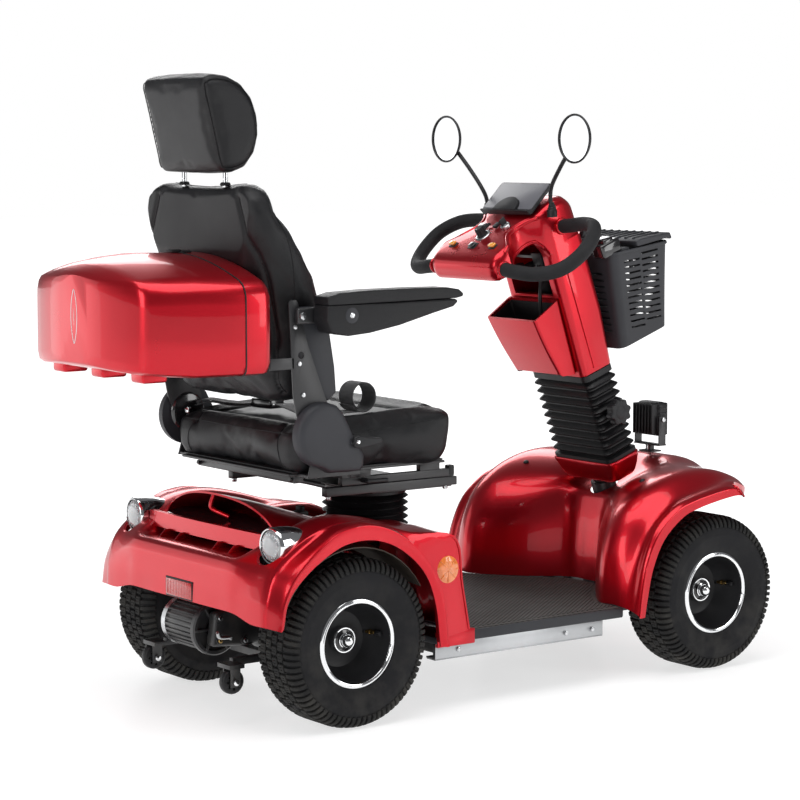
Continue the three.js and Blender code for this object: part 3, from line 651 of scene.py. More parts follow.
def clear_lens(name, colour, roughness=0.06):
    """Moulded lens plastic with fine prisms behind a smooth face."""
    material, tree, shader, vector = new_material(name)
    out = use_group(tree, GRAIN, vector, Grain_scale=240.0, Patch_scale=60.0)
    tree.links.new(
        mix(tree, out["Patches"], colour, tuple(min(1, 1.25 * c + 0.03) for c in colour)),
        shader.inputs["Base Color"],
    )
    tree.links.new(spread(tree, out["Patches"], 0, 1, roughness, roughness + 0.1), shader.inputs["Roughness"])
    bump(tree, shader, out["Height"], 0.15, 0.0006)
    constants(shader, Coat_Weight=1.0, Coat_Roughness=0.02, Subsurface_Weight=0.1, Subsurface_Scale=0.004)
    return material


RED = candy_red()
FRAME_PAINT = moulded(
    "black_frame_paint", (0.010, 0.010, 0.011), (0.018, 0.018, 0.020), (0.34, 0.5), 700.0, dust=0.35,
    Coat_Weight=0.25, Coat_Roughness=0.3,
)
SEAT_STEEL = moulded(
    "black_seat_steel", (0.012, 0.012, 0.013), (0.022, 0.022, 0.024), (0.36, 0.5), 700.0, Coat_Weight=0.2,
    Coat_Roughness=0.3,
)
PLASTIC = moulded(
    "black_moulded_plastic", (0.009, 0.009, 0.010), (0.016, 0.016, 0.018), (0.42, 0.55), 1100.0,
    depth=0.0003, Specular_IOR_Level=0.35,
)
SATIN_PLASTIC = moulded(
    "dark_grey_plastic", (0.022, 0.023, 0.027), (0.034, 0.035, 0.041), (0.42, 0.54), 1300.0, depth=0.0003,
    Specular_IOR_Level=0.35,
)
GLOSS_BLACK = moulded(
    "gloss_black_plastic", (0.006, 0.006, 0.007), (0.012, 0.012, 0.013), (0.12, 0.2), 500.0, relief=0.05,
    Coat_Weight=0.6, Coat_Roughness=0.06,
)
PANEL_GREY = moulded("display_panel_grey", (0.10, 0.10, 0.115), (0.13, 0.13, 0.145), (0.32, 0.42), 1600.0)
TYRE = moulded(
    "tyre_rubber", (0.008, 0.008, 0.009), (0.015, 0.015, 0.017), (0.66, 0.84), 420.0, 14.0, 0.0005, 0.4,
    dust=0.18, Specular_IOR_Level=0.22,
)
TREAD = moulded(
    "tread_rubber", (0.010, 0.010, 0.011), (0.022, 0.022, 0.021), (0.72, 0.9), 300.0, 18.0, 0.0007, 0.5,
    dust=0.3, Specular_IOR_Level=0.22,
)
GAITER_RUBBER = moulded(
    "gaiter_rubber", (0.006, 0.006, 0.007), (0.012, 0.012, 0.013), (0.36, 0.52), 500.0, 16.0, 0.0003, 0.3,
    Specular_IOR_Level=0.32,
)
FOAM = moulded(
    "grip_foam", (0.012, 0.012, 0.013), (0.022, 0.022, 0.024), (0.66, 0.8), 1500.0, 20.0, 0.0006, 0.6,
    Specular_IOR_Level=0.25,
)
LEATHER = leather("black_leather", (0.006, 0.006, 0.007), (0.011, 0.011, 0.013), (0.34, 0.46))
ARM_PAD = leather("armrest_skin", (0.008, 0.008, 0.009), (0.014, 0.014, 0.016), (0.4, 0.52))
PIPING = leather("seam_thread", (0.006, 0.006, 0.007), (0.011, 0.011, 0.012), (0.5, 0.6))
CHROME = moulded(
    "chrome", (0.78, 0.79, 0.80), (0.86, 0.87, 0.88), (0.05, 0.12), 400.0, 12.0, relief=0.03, Metallic=1.0,
)
BRIGHT_STEEL = moulded(
    "zinc_steel", (0.5, 0.51, 0.52), (0.62, 0.63, 0.64), (0.22, 0.36), 500.0, 22.0, relief=0.12,
    Metallic=1.0,
)
ALUMINIUM = moulded(
    "brushed_aluminium", (0.40, 0.41, 0.42), (0.5, 0.51, 0.52), (0.28, 0.4), 800.0, 10.0, relief=0.15,
    Metallic=1.0,
)
BRASS = moulded(
    "brass", (0.62, 0.40, 0.13), (0.74, 0.5, 0.2), (0.18, 0.3), 500.0, 30.0, relief=0.1, Metallic=1.0,
)
WEBBING = webbing()
MATTING = ribbed_mat()
CLEAR = clear_lens("clear_lamp_lens", (0.30, 0.31, 0.32))
AMBER = clear_lens("amber_plastic", (0.75, 0.30, 0.02), 0.16)
ORANGE = clear_lens("orange_reflector", (0.80, 0.20, 0.02), 0.1)
RED_LENS = clear_lens("red_reflector", (0.42, 0.004, 0.004), 0.2)
BUTTON_RED = clear_lens("orange_button", (0.8, 0.10, 0.03), 0.25)
GLASS = moulded(
    "mirror_glass", (0.82, 0.84, 0.85), (0.88, 0.89, 0.9), (0.02, 0.05), 300.0, 8.0, relief=0.0,
    Metallic=1.0,
)
LINER = moulded("arch_liner", (0.06, 0.045, 0.035), (0.085, 0.066, 0.05), (0.6, 0.75), 600.0, 9.0, dust=0.3)
SPRING = moulded("spring_paint", (0.010, 0.010, 0.011), (0.02, 0.02, 0.022), (0.3, 0.4), 500.0, Metallic=0.4)


# ---------- camera, floor and lights ----------
CAMERA_PLACE = Vector((-3.0722, -4.1469, 1.1095))
CAMERA_TURN = math.radians(-36.27)
CAMERA_RISE = math.radians(5.80)


def studio():
    look = Vector(
        (
            -math.sin(CAMERA_TURN) * math.cos(CAMERA_RISE),
            math.cos(CAMERA_TURN) * math.cos(CAMERA_RISE),
            -math.sin(CAMERA_RISE),
        )
    )
    lens = bpy.data.cameras.new("camera")
    lens.lens = 112.44
    lens.sensor_width = 36
    lens.clip_end = 100
    camera = bpy.data.objects.new("camera", lens)
    camera.location = CAMERA_PLACE
    camera.rotation_euler = look.to_track_quat("-Z", "Y").to_euler()
    scene = bpy.context.scene
    scene.collection.objects.link(camera)
    scene.camera = camera
    scene.view_settings.view_transform = "Standard"

    clear()
    bpy.ops.mesh.primitive_plane_add(size=60, location=(0, 0, 0))
    floor = named("studio_floor")
    floor_finish, tree, shader, vector = new_material("pale_floor")
    out = use_group(tree, GRAIN, vector, Grain_scale=6.0, Patch_scale=0.6)
    tree.links.new(
        mix(tree, out["Patches"], (0.62, 0.62, 0.62), (0.64, 0.64, 0.64)),
        shader.inputs["Base Color"],
    )
    constants(shader, Roughness=0.2, Specular_IOR_Level=0.2, Emission_Color=(1, 1, 1, 1))
    away = tree.nodes.new("ShaderNodeVectorMath")
    away.operation = "LENGTH"
    tree.links.new(vector, away.inputs[0])
    tree.links.new(
        spread(tree, away.outputs["Value"], 0.9, 3.4, 0.66, 1.1), shader.inputs["Emission Strength"],
    )
    floor.data.materials.append(floor_finish)

    world = bpy.data.worlds.new("studio_white")
    scene.world = world
    world.use_nodes = True
    tree = world.node_tree
    background = tree.nodes["Background"]
    path = tree.nodes.new("ShaderNodeLightPath")
    shade = tree.nodes.new("ShaderNodeMix")
    shade.data_type = "RGBA"
    shade.inputs["A"].default_value = (0.15, 0.15, 0.155, 1)
    shade.inputs["B"].default_value = (1, 1, 1, 1)
    tree.links.new(path.outputs["Is Camera Ray"], shade.inputs["Factor"])
    tree.links.new(shade.outputs["Result"], background.inputs["Color"])
    background.inputs["Strength"].default_value = 1.0

    centre = Vector((0, 0, 0.6))
    for name, place, size, power in (
        ("overhead_softbox", (-0.6, -0.6, 3.4), (3.4, 2.4), 78),
        ("left_softbox", (-4.2, -1.2, 1.9), (1.6, 2.4), 50),
        ("right_softbox", (2.6, -3.6, 1.7), (1.4, 2.4), 46),
        ("back_softbox", (1.8, 3.8, 2.6), (3.0, 1.6), 60),
        ("mirror_card", (-3.4, 5.0, 1.2), (3.6, 2.6), 32),
    ):
        light = bpy.data.lights.new(name, "AREA")
        light.shape = "RECTANGLE"
        light.size, light.size_y = size
        light.energy = power
        lamp = bpy.data.objects.new(name, light)
        lamp.location = place
        lamp.rotation_euler = (centre - Vector(place)).to_track_quat("-Z", "Y").to_euler()
        scene.collection.objects.link(lamp)


studio()


# ---------- wheels ----------
def tread_blocks():
    """Turf tread: four rows of square blocks and fine lugs that wrap each shoulder."""
    blocks = []
    pitch = 48
    for row, across in enumerate((-28.5, -9.5, 9.5, 28.5)):
        lug = block("lug", (TYRE_R - 8, TYRE_R), (-8.2, 8.2), (across - 8, across + 8), 1.3, 1)
        for rib in (-2.6, 2.6):
            cut(
                lug,
                block(
                    "sipe", (TYRE_R - 1.4, TYRE_R + 2), (rib - 0.6, rib + 0.6), (across - 5, across + 5), 0,
                ),
            )
        lug.data.transform(Matrix.Rotation(math.pi * (row % 2) / pitch, 4, "Z"))
        blocks.append(around(lug, pitch, (0, 0, 0), (0, 0, 1)))
    outline = [
        (150, 38), (163.6, 38), (163, 45), (160, 52), (155, 58), (148, 62.4), (141, 63.4), (140, 60),
        (146, 55),
    ]
    for side in (1, -1):
        lug = plate(
            "shoulder_lug", outline, (-3.9, 3.9), lambda r, t, d: (r, d + 0.12 * (t - 38), side * t), 1.0, 1
        )
        lug.data.transform(Matrix.Rotation(math.pi / pitch / 2, 4, "Z"))
        blocks.append(around(lug, 76, (0, 0, 0), (0, 0, 1)))
    return joined("tread", *blocks)


def tyre_body():
    half = [
        (79.6, 40), (80, 46), (87.6, 50), (92, 54), (94, 54.4), (96, 56), (108, 60.6), (122, 62.6),
        (124, 63.2), (126, 62.8), (136, 62), (146, 58), (153, 52), (157.5, 44), (159, 34), (159.6, 18),
        (159.8, 0),
    ]
    outline = half + [(r, -t) for r, t in reversed(half[:-1])]
    return turned("tyre", outline, steps=96, closed=True)


def rim_body():
    front = [
        (10, 4), (10, -9), (24, -9), (29, -10.5), (50, -11.5), (53, -9.5), (54.5, -9.5), (58, -5), (70, 14),
        (74.5, 34), (76.4, 46), (76.8, 49),
    ]
    back = [
        (86, 48), (79, 45), (79, -45), (86, -51), (84, -53), (75, -50), (72, -24), (50, -18.4), (26, -18.4),
        (24, -34), (10.6, -34), (10.2, -12),
    ]
    return turned("rim", front + [(84, 50)] + back, steps=72, closed=True)


def rim_chrome():
    flange = turned(
        "flange",
        [(76.6, 46.5), (76.9, 50.2), (78.4, 52.4), (80.6, 53), (81.4, 52.1), (82.4, 52.9), (85.4, 52.6),
         (87.3, 50.8), (87.4, 49), (85, 48.6)],
        steps=96,
        closed=True,
    )
    cup = turned(
        "cup",
        [(21, -12), (21, 6), (22.4, 7.6), (24.4, 7.8), (26, 6), (26.4, -12)],
        steps=64,
        closed=True,
    )
    return joined("rim_chrome", flange, cup)


def hub_nut():
    """The domed cap over the axle's nut."""
    return turned(
        "hub_nut",
        [(0, 29), (5, 28.4), (9.4, 25.6), (12, 21.4), (12.8, 17), (12.8, 11), (14.6, 10), (14.6, 8), (0, 8)],
        steps=48,
    )


def wheel_set():
    """One wheel is modelled with its axis up, then copied to the four places."""
    tread = tread_blocks()
    tyre = tyre_body()
    rim = rim_body()
    chrome = rim_chrome()
    nut = hub_nut()
    cup_floor = turned("cup_floor", [(0, 9), (12, 8.6), (13, 6), (21.4, 3), (21.6, -8), (0, -8)], steps=48)
    stem = drum("valve", (60, 9, -8), (64, 9, 22), 4.2, 0.6, 16)
    stem = joined("valve_stem", stem, drum("valve_nut", (61.6, 9, 2), (62.6, 9, 7), 5.8, 0.4, 6))
    cap = drum("valve_cap", (63.8, 9, 20), (65.8, 9, 33), 4.6, 0.8, 16)
    grommet = drum("valve_foot", (58.6, 9, -14), (60.4, 9, -6), 6.4, 1.4, 16)
    for where, x in (("rear", 0), ("front", WHEELBASE)):
        for hand, s in SIDES:
            wheel = f"{where}_{hand}"
            body = f"{wheel}_wheel"
            turn = Matrix.Rotation(-s * math.pi / 2, 4, "X")
            place = BODY @ Matrix.Translation((x, s * TRACK_HALF, TYRE_R)) @ turn
            tyre_piece = settle(copied(tyre, f"{wheel}_tyre_body"), place, body, TYRE, 40)
            settle(copied(tread, f"{wheel}_tread"), place, body, TREAD, 30)
            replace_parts(tyre_piece, f"{wheel}_tyre")
            rim_piece = settle(copied(rim, f"{wheel}_rim_body"), place, body, PLASTIC, 40)
            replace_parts(rim_piece, f"{wheel}_rim")
            settle(copied(chrome, f"{wheel}_rim_chrome"), place, body, CHROME, 40)
            settle(copied(nut, f"{wheel}_hub_cap"), place, body, CHROME, 40)
            settle(copied(cup_floor, f"{wheel}_hub_cup"), place, body, GLOSS_BLACK, 40)
            settle(copied(stem, f"{wheel}_valve_stem"), place, body, BRASS, 40)
            settle(copied(cap, f"{wheel}_valve_cap"), place, body, PLASTIC, 40)
            settle(copied(grommet, f"{wheel}_valve_grommet"), place, body, GAITER_RUBBER, 40)
    for part in (tread, tyre, rim, chrome, nut, cup_floor, stem, cap, grommet):
        bpy.data.objects.remove(part)


wheel_set()


# ---------- painted body shells ----------
def station_rows(stations, count, across):
    """Rows of points across the whole width, from the left half's side profiles."""
    profiles = [[Vector((x, y, z)) for x, z in points] for y, points in stations]
    profiles = [curve_through(points, count) for points in profiles]
    left = [[row.copy() for row in profile] for profile in profiles]
    right = [[Vector((p.x, -p.y, p.z)) for p in profile] for profile in reversed(left) if profile[0].y > 0]
    rows = left + right
    if across:
        columns = [
            curve_through([row[j] for row in rows], (len(rows) - 1) * across + 1)
            for j in range(count)
        ]
        rows = [[column[i] for column in columns] for i in range(len(columns[0]))]
    return rows


def shell_panel(name, stations, count, across):
    return skin(name, station_rows(stations, count, across), capped=False, ring_closed=False)


REAR_LIP_INNER = [
    (-182, 216), (-170, 267), (-135, 308), (-79, 346), (-30, 364), (30, 364), (90, 340), (145, 290),
    (172, 225), (184, 140),
]
REAR_LIP = [(-188, 212), (-178, 266), (-146, 318), (-80, 370), (-30, 389), (30, 389), (95, 362), (156, 306),
            (192, 235), (204, 138)]
REAR_CORNER = [
    (-203, 216), (-200, 270), (-182, 325), (-105, 376), (-30, 398), (50, 392), (140, 366), (243, 345),
    (264, 250), (281, DECK_Z + 4),
]
REAR_INNER = [
    (-204, 226), (-202, 273), (-191, 327), (-112, 372), (-30, 396), (50, 390), (140, 372), (240, 349),
    (262, 250), (280, DECK_Z + 4),
]
REAR_WELL = [
    (-205, 229), (-204, 275), (-196, 326), (-150, 333), (-60, 338), (30, 352), (130, 366), (238, 350),
    (261, 250), (280, DECK_Z + 4),
]
REAR_HOUSING = [
    (-206, 229), (-204, 275), (-196, 326), (-150, 333), (-60, 338), (50, 350), (140, 320), (300, 318),
    (332, 290), (338, DECK_Z + 4),
]


def rear_band(share, lift, drop):
    """The rolled band above the wheel: its rear end runs out into the apron's corner."""
    rows = []
    for i, (lip, corner) in enumerate(zip(REAR_LIP, REAR_CORNER)):
        if i < 3:
            rows.append((lip[0] * (1 - share) + corner[0] * share, lip[1] * (1 - share) + corner[1] * share))
        elif drop:
            rows.append((corner[0], corner[1] - drop))
        else:
            rows.append((lip[0], lip[1] + lift))
    return rows


REAR_STATIONS = [
    (LIP_Y - 1.5, REAR_LIP_INNER),
    (LIP_Y, REAR_LIP),
    (LIP_Y - 3, rear_band(0.08, 4, 0)),
    (LIP_Y - 12, rear_band(0.25, 7, 0)),
    (LIP_Y - 34, rear_band(0.55, 8, 0)),
    (LIP_Y - 40, rear_band(0.7, 0, 2)),
    (LIP_Y - 46, rear_band(0.85, 0, 0.01)),
    (250, [(x, z + (6 if 2 < i < 7 else 0)) for i, (x, z) in enumerate(REAR_CORNER)]),
    (205, REAR_INNER),
    (178, REAR_WELL),
    (138, REAR_WELL),
    (92, REAR_HOUSING),
    (0, REAR_HOUSING),
]
# rise of the hood over the tray: (y, rear, middle, front)
HOOD = [
    (200, 371, 362, 352), (186, 388, 378, 356), (150, 408, 393, 364), (90, 424, 404, 369),
    (0, 431, 409, 371),
]
LAMP_X = -158
LAMP_Y = 254
LAMP_Z = 360


def soft_shell(obj, thickness=SHELL):
    """Gives a panel its wall, inwards."""
    return with_modifier(obj, "SOLIDIFY", thickness=thickness, offset=-1.0, use_even_offset=False)


def face_up(obj):
    """Open panels point away from the middle of the body."""
    mesh = obj.data
    centre = sum((v.co for v in mesh.vertices), Vector()) / len(mesh.vertices)
    centre.z -= 150
    flow = sum(p.normal.dot(p.center - centre) * p.area for p in mesh.polygons)
    if flow < 0:
        mesh.flip_normals()
    return obj


def rear_shell():
    body = soft_shell(face_up(shell_panel("rear_panel", REAR_STATIONS, 49, 3)))
    hood_rows = [
        (y, [(-112 - (200 - y) * 0.06, rear), (-40, mid), (80, front)]) for y, rear, mid, front in HOOD
    ]
    hood = soft_shell(face_up(shell_panel("hood", hood_rows, 13, 6)))
    bar_low = [(LAMP_X + 12 - 5 * math.cos(math.pi * y / 428), y, 344) for y in range(-214, 215, 4)]
    rows = [
        [(x, y, z) for x, y, z in bar_low],
        [(x + 3, y, 374) for x, y, z in bar_low],
        [(x + 11, y, 375) for x, y, z in bar_low],
        [(x + 30, y, 366) for x, y, z in bar_low],
    ]
    bar = soft_shell(face_up(skin("tray_bar", rows, capped=False, ring_closed=False)), 4)
    tunnel = drum("tunnel", (SEAT_X, 0, 290), (SEAT_X, 0, 430), 42, 0, 48)
    cut(body, tunnel)
    for panel in (body, bar):
        cut(
            panel,
            *[drum("socket", (-232, s * 258.4, 358), (-110, s * 251, 361), 33, 0, 40) for s in (1, -1)],
        )
    sockets = [drum("socket", (-232, s * 258.4, 358), (-60, s * 248, 363), 34, 0, 40) for s in (1, -1)]
    cut(hood, *sockets)
    piece = settle(body, BODY, "chassis", RED, 38)
    settle(hood, BODY, "chassis", RED, 38)
    settle(bar, BODY, "chassis", RED, 45)
    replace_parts(piece, "rear_body_shell")

    # the tray under the hood: dark liner, catch, pull strap and two ribs
    liner_rows = [
        (
            y,
            [
                (-142, 352), (-134, 364), (-84, 378 if y < 190 else 366), (0, 368 if y < 190 else 358),
                (60, 348),
            ],
        )
        for y, rear, mid, front in HOOD
    ]
    liner = soft_shell(face_up(shell_panel("tray_deck", liner_rows, 15, 2)), 3)
    settle(liner, BODY, "chassis", GLOSS_BLACK, 38)
    strap = pipe(
        "tray_strap",
        [(-117, 12, 425), (-121, 16, 407), (-118, 14, 396), (-98, -14, 382)],
        4.6,
        20,
        8,
    )
    settle(strap, BODY, "chassis", RED)
    catch = joined(
        "tray_catch",
        block("foot", (66, 92), (-14, 14), (366, 377), 2),
        block("tongue", (74, 86), (-9, 9), (374, 388), 2.5),
        drum("pin", (80, -12, 384), (80, 12, 384), 3.4),
    )
    settle(catch, BODY, "chassis", PLASTIC)
    for s in (1, -1):
        for y in (70, 128):
            rib = side_plate(
                "tray_rib", [(-176, 330), (-132, 334), (-132, 346), (-160, 346)], s * y - 2, s * y + 2, 0.8,
            )
            rib.name = f"tray_rib_{'left' if s > 0 else 'right'}_{y}"
            settle(rib, BODY, "chassis", RED)


rear_shell()


def rear_lamps():
    """Bullet housings with a ringed, prismed lens."""
    bullet = turned(
        "bullet",
        [
            (31.5, 0.5), (33.5, 1.5), (35.4, -0.5), (36, -6), (35.8, -22), (34, -42), (29.5, -62),
            (20, -80), (8, -91), (0, -94),
        ],
        steps=64,
    )
    lens = turned(
        "lens",
        [(0, 5), (8, 4.8), (16, 4.2), (24, 2.6), (29.6, -0.4), (31.2, -3), (31.4, -8), (0, -8)],
        steps=64,
    )
    rings = [
        turned(
            "ring",
            [(r - 0.7, 3.6 - r / 9), (r, 5.8 - r / 8.2), (r + 0.7, 3.6 - r / 9)],
            steps=48,
            closed=True,
        )
        for r in (9, 18, 26)
    ]
    prisms = around(block("prism", (9, 27), (-0.7, 0.7), (0, 3.4), 0.4, 1), 18, (0, 0, 0), (0, 0, 1))
    detail = joined("lens_detail", *rings, prisms)
    for hand, s in SIDES:
        place = BODY @ Matrix.Translation((LAMP_X, s * LAMP_Y, LAMP_Z))
        place = place @ turn_to((-1, s * 0.06, -0.02)).to_matrix().to_4x4()
        housing = settle(copied(bullet, f"{hand}_rear_lamp_housing"), place, "chassis", CHROME, 40)
        settle(copied(lens, f"{hand}_rear_lamp_lens"), place, "chassis", CLEAR, 40)
        settle(
            copied(detail, f"{hand}_rear_lamp_prisms"), place, "chassis", BRIGHT_STEEL, 40,
        )
        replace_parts(housing, f"{hand}_rear_lamp")
    for part in (bullet, lens, detail):
        bpy.data.objects.remove(part)


rear_lamps()


def reflectors():
    """The red block on the apron and the round amber ones on the body sides."""
    red = block("rear_reflector", (-208, -202.6), (-47, 47), (232, 265), 1.6)
    rim = block("rear_reflector_frame", (-206.6, -201.5), (-50, 50), (229, 268), 1.2)
    lines = [
        block("line", (-208.5, -207.6), (y - 0.4, y + 0.4), (234, 263), 0.2, 1)
        for y in range(-42, 43, 6)
    ]
    settle(red, BODY, "chassis", RED_LENS)
    settle(rim, BODY, "chassis", PLASTIC)
    settle(joined("rear_reflector_lines", *lines), BODY, "chassis", RED_LENS)
    for hand, s in SIDES:
        disc = turned(
            "disc", [(0, 4), (14, 3.6), (25, 2.4), (27.4, 0.6), (27.6, -3), (0, -3)],
            (228, s * 296, 283), (0, s, 0), 48)
        spokes = around(block("spoke", (2, 25), (-0.5, 0.5), (2.4, 4.4), 0.2, 1), 8, (0, 0, 0), (0, 0, 1))
        spokes.data.transform(
            Matrix.Translation((228, s * 296, 283)) @ turn_to((0, s, 0)).to_matrix().to_4x4()
        )
        disc = joined(f"{hand}_side_reflector", disc, spokes)
        settle(disc, BODY, "chassis", ORANGE, 40)


reflectors()


def wheel_arches():
    """Dull liners inside the rear fenders, and a spring strut behind each."""
    for hand, s in SIDES:
        rows = []
        for y, drop in ((300, 20), (262, 14), (205, 14), (190, 30)):
            arc = []
            for i in range(17):
                t = math.radians(30 + 122 * i / 16)
                arc.append((6 + (176 + drop * 0.1) * math.cos(t), s * y, 168 + (200 - drop) * math.sin(t)))
            rows.append(arc)
        liner = with_modifier(
            skin(f"{hand}_arch_liner", rows, False, False), "SOLIDIFY", thickness=2.0, offset=0,
        )
        settle(liner, BODY, "chassis", LINER, 50)
        turns = 6
        coil = [
            (
                60 - 18 * i / (turns * 12) + 17 * math.cos(math.tau * i / 12),
                s * (196 + 17 * math.sin(math.tau * i / 12)),
                196 + 118 * i / (turns * 12),
            )
            for i in range(turns * 12 + 1)
        ]
        spring = pipe(f"{hand}_spring", coil, 4.2, len(coil), 8, smooth=False)
        settle(spring, BODY, "chassis", SPRING, 60)
        strut = joined(
            f"{hand}_strut",
            drum("rod", (60, s * 196, 182), (42, s * 196, 330), 6.5),
            drum("tube", (61, s * 196, 176), (51, s * 196, 256), 12),
            drum("seat", (61.5, s * 196, 190), (61, s * 196, 196), 24),
            drum("cap", (42.6, s * 196, 312), (42, s * 196, 320), 24),
        )
        settle(strut, BODY, "chassis", BRIGHT_STEEL)


wheel_arches()

FRONT_LIP = [(701, 138), (708, 190), (722, 250), (753, 310), (806, 353), (850, 368), (893, 377), (930, 383),
             (958, 386), (976, 384)]
FRONT_CROWN = [
    (690, DECK_Z + 4), (690, 215), (702, 285), (735, 345), (790, 388), (860, 414), (930, 422), (985, 417),
    (1035, 400), (1062, 380),
]
FRONT_FLANK = [(764, DECK_Z + 4), (764, 215), (772, 285), (795, 340), (830, 376), (880, 398), (945, 412),
               (1010, 416), (1080, 396), (1112, 360)]
FRONT_VALLEY = [(842, DECK_Z + 4), (842, 215), (846, 275), (853, 325), (868, 356), (912, 376), (960, 396),
                (1040, 424), (1120, 402), (1146, 352)]


def rolled_nose(profile, drop):
    """Turns the front end of a profile down, as the moulding's edge does."""
    x, z = profile[-1]
    return profile + [(x + 0.2 * drop, z - 0.35 * drop), (x + 0.1 * drop, z - drop)]


FRONT_STATIONS = [
    (LIP_Y - 1.5, [(x + 14, z - 14 * min(i, 1)) for i, (x, z) in enumerate(FRONT_LIP)]),
    (LIP_Y, FRONT_LIP),
    (LIP_Y - 3, [(x - 1, z + 4) for x, z in FRONT_LIP]),
    (LIP_Y - 12, [(x - 3, z + 8) for x, z in FRONT_LIP]),
    (LIP_Y - 34, [(x - 4 + 2.5 * i, z + 14) for i, (x, z) in enumerate(FRONT_LIP)]),
    (262, [(x, z if i < 2 else z - 2) for i, (x, z) in enumerate(FRONT_CROWN)]),
    (215, FRONT_CROWN),
    (120, FRONT_FLANK),
    (60, [(x - 8, z) for x, z in FRONT_VALLEY]),
    (0, FRONT_VALLEY),
]


def column_at(v, y, u):
    """A place given along the steering column, in body millimetres."""
    return UP_COLUMN @ Vector((v, y, u))


def front_shell():
    stations = [(y, rolled_nose(profile, 3 if y > LIP_Y - 13 else 17)) for y, profile in FRONT_STATIONS]
    body = soft_shell(face_up(shell_panel("front_panel", stations, 49, 4)))
    cut(body, drum("mouth", column_at(0, 0, -130), column_at(0, 0, 60), 32, 0, 48))
    piece = settle(body, BODY, "chassis", RED, 38)
    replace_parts(piece, "front_body_shell")
    for hand, s in SIDES:
        plug = turned(
            f"{hand}_hood_plug", [(0, 3.2), (4, 2.6), (6.4, 0.6), (6.6, -4), (0, -4)], (826, s * 196, 401),
            (-0.5, 0, 1), 24,
        )
        settle(plug, BODY, "chassis", PLASTIC)


front_shell()


# ---------- tiller ----------
def ring_at(u, v0, v1, half, r, corner=5):
    """A rounded rectangle across the column, at a height along it."""
    return [(v, y, u) for v, y in round_rect(v0, v1, -half, half, r, corner)]


def column_and_collar():
    shaft = joined(
        "column_shaft",
        drum("shaft", (0, 0, -126), (0, 0, 80), 17.5, 1),
        block("yoke_base", (-16, 16), (-30, 30), (66, 78), 2),
        *[block("yoke", (-18, 18), sorted((s * 22, s * 30)), (70, PIVOT_U + 20), 3) for s in (1, -1)],
    )
    piece = settle(shaft, TILLER, "steering", FRAME_PAINT)
    rings = [ring_at(-50, -34, 36, 84, 20), ring_at(-44, -37, 39, 88, 20), ring_at(-30, -40, 42, 94, 18),
             ring_at(-9, -42.6, 45.6, 100.6, 16), ring_at(-3, -43, 46, 101, 16), ring_at(-1, -41, 44, 99, 15)]
    collar = rounded(skin("column_collar", rings), 0.8, 2, 40)
    settle(collar, TILLER, "steering", RED)
    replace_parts(piece, "steering_column")


def bellows():
    """Rubber gaiter: sharp-edged pleats between two plain cuffs."""
    pleats = 9
    rings = [ring_at(0, -42, 45, 97, 16), ring_at(7, -42, 45, 97, 16), ring_at(9, -38, 41, 91, 15)]
    step = 176 / pleats
    for i in range(pleats):
        u = 10 + i * step
        swell = 1.5 * math.sin(i * 1.7)
        rings += [
            ring_at(u + step * 0.08, -34, 37, 86, 14),
            ring_at(u + step * 0.40, -41.5, 44.5, 95 + swell * 0.5, 16),
            ring_at(u + step * 0.50, -43, 46, 97, 17),
            ring_at(u + step * 0.60, -41.5, 44.5, 95 + swell * 0.5, 16),
            ring_at(u + step * 0.94, -34, 37, 86, 14),
        ]
    rings += [ring_at(188, -38, 41, 89, 15), ring_at(190, -42, 44, 92, 16), ring_at(203, -42, 44, 92, 16)]
    rings += [
        ring_at(203, -36, 38, 86, 14), ring_at(190, -31, 34, 82, 12), ring_at(9, -31, 34, 82, 12),
        ring_at(0.4, -36, 38, 88, 14),
    ]
    obj = skin("tiller_bellows", rings + [rings[0]], capped=False)
    settle(obj, TILLER, None, GAITER_RUBBER, 30)
    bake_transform(obj)
    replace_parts(obj, "tiller_gaiter")


def tilt_knob():
    """Eight-lobed hand knob on its boss."""
    lobes = []
    for i in range(64):
        a = math.tau * i / 64
        r = 26.6 + 2.8 * math.cos(8 * a)
        lobes.append((r * math.cos(a), PIVOT_U + r * math.sin(a)))
    knob = side_plate("knob", lobes, -129.8, -110, 3.2, 3)
    dish = turned(
        "dish", [(0, 1.5), (14, 1.5), (17, 0), (17, -4), (0, -4)], (0, -129, PIVOT_U), (0, -1, 0), 48,
    )
    boss = drum("boss", (0, -97, PIVOT_U), (0, -112, PIVOT_U), 15, 2, 32, 17)
    spindle = drum("spindle", (0, -32, PIVOT_U), (0, -100, PIVOT_U), 6)
    piece = settle(joined("tilt_hand_knob", knob, dish, boss, spindle), TILLER, "tilt_lock", PLASTIC, 40)
    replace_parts(piece, "tilt_knob")


# cross-sections of the console along the column's forward axis: v, half width, underside, top, corner
CONSOLE = [
    (-204.6, 92, 503, 516, 6), (-203, 101, 496, 524, 12), (-199, 107, 491, 532, 16),
    (-190, 111, 488, 540, 18), (-178, 113, 489, 545, 17), (-160, 112, 492, 551, 13),
    (-150, 104, 495, 555, 11), (-136, 86, 500, 559, 10), (-122, 72, 505, 563, 9), (-104, 64, 511, 566, 9),
    (-86, 62, 516, 569, 9), (-70, 65, 520, 571, 9), (-56, 74, 519, 574, 10), (-46, 86, 500, 577, 13),
    (-38, 91, 478, 579, 16), (-16, 93, 468, 586, 18), (4, 93, 466, 591, 20), (26, 91, 466, 591, 22),
    (42, 88, 467, 587, 23), (54, 82, 470, 577, 24), (61, 74, 480, 561, 24), (64, 62, 492, 545, 22),
]


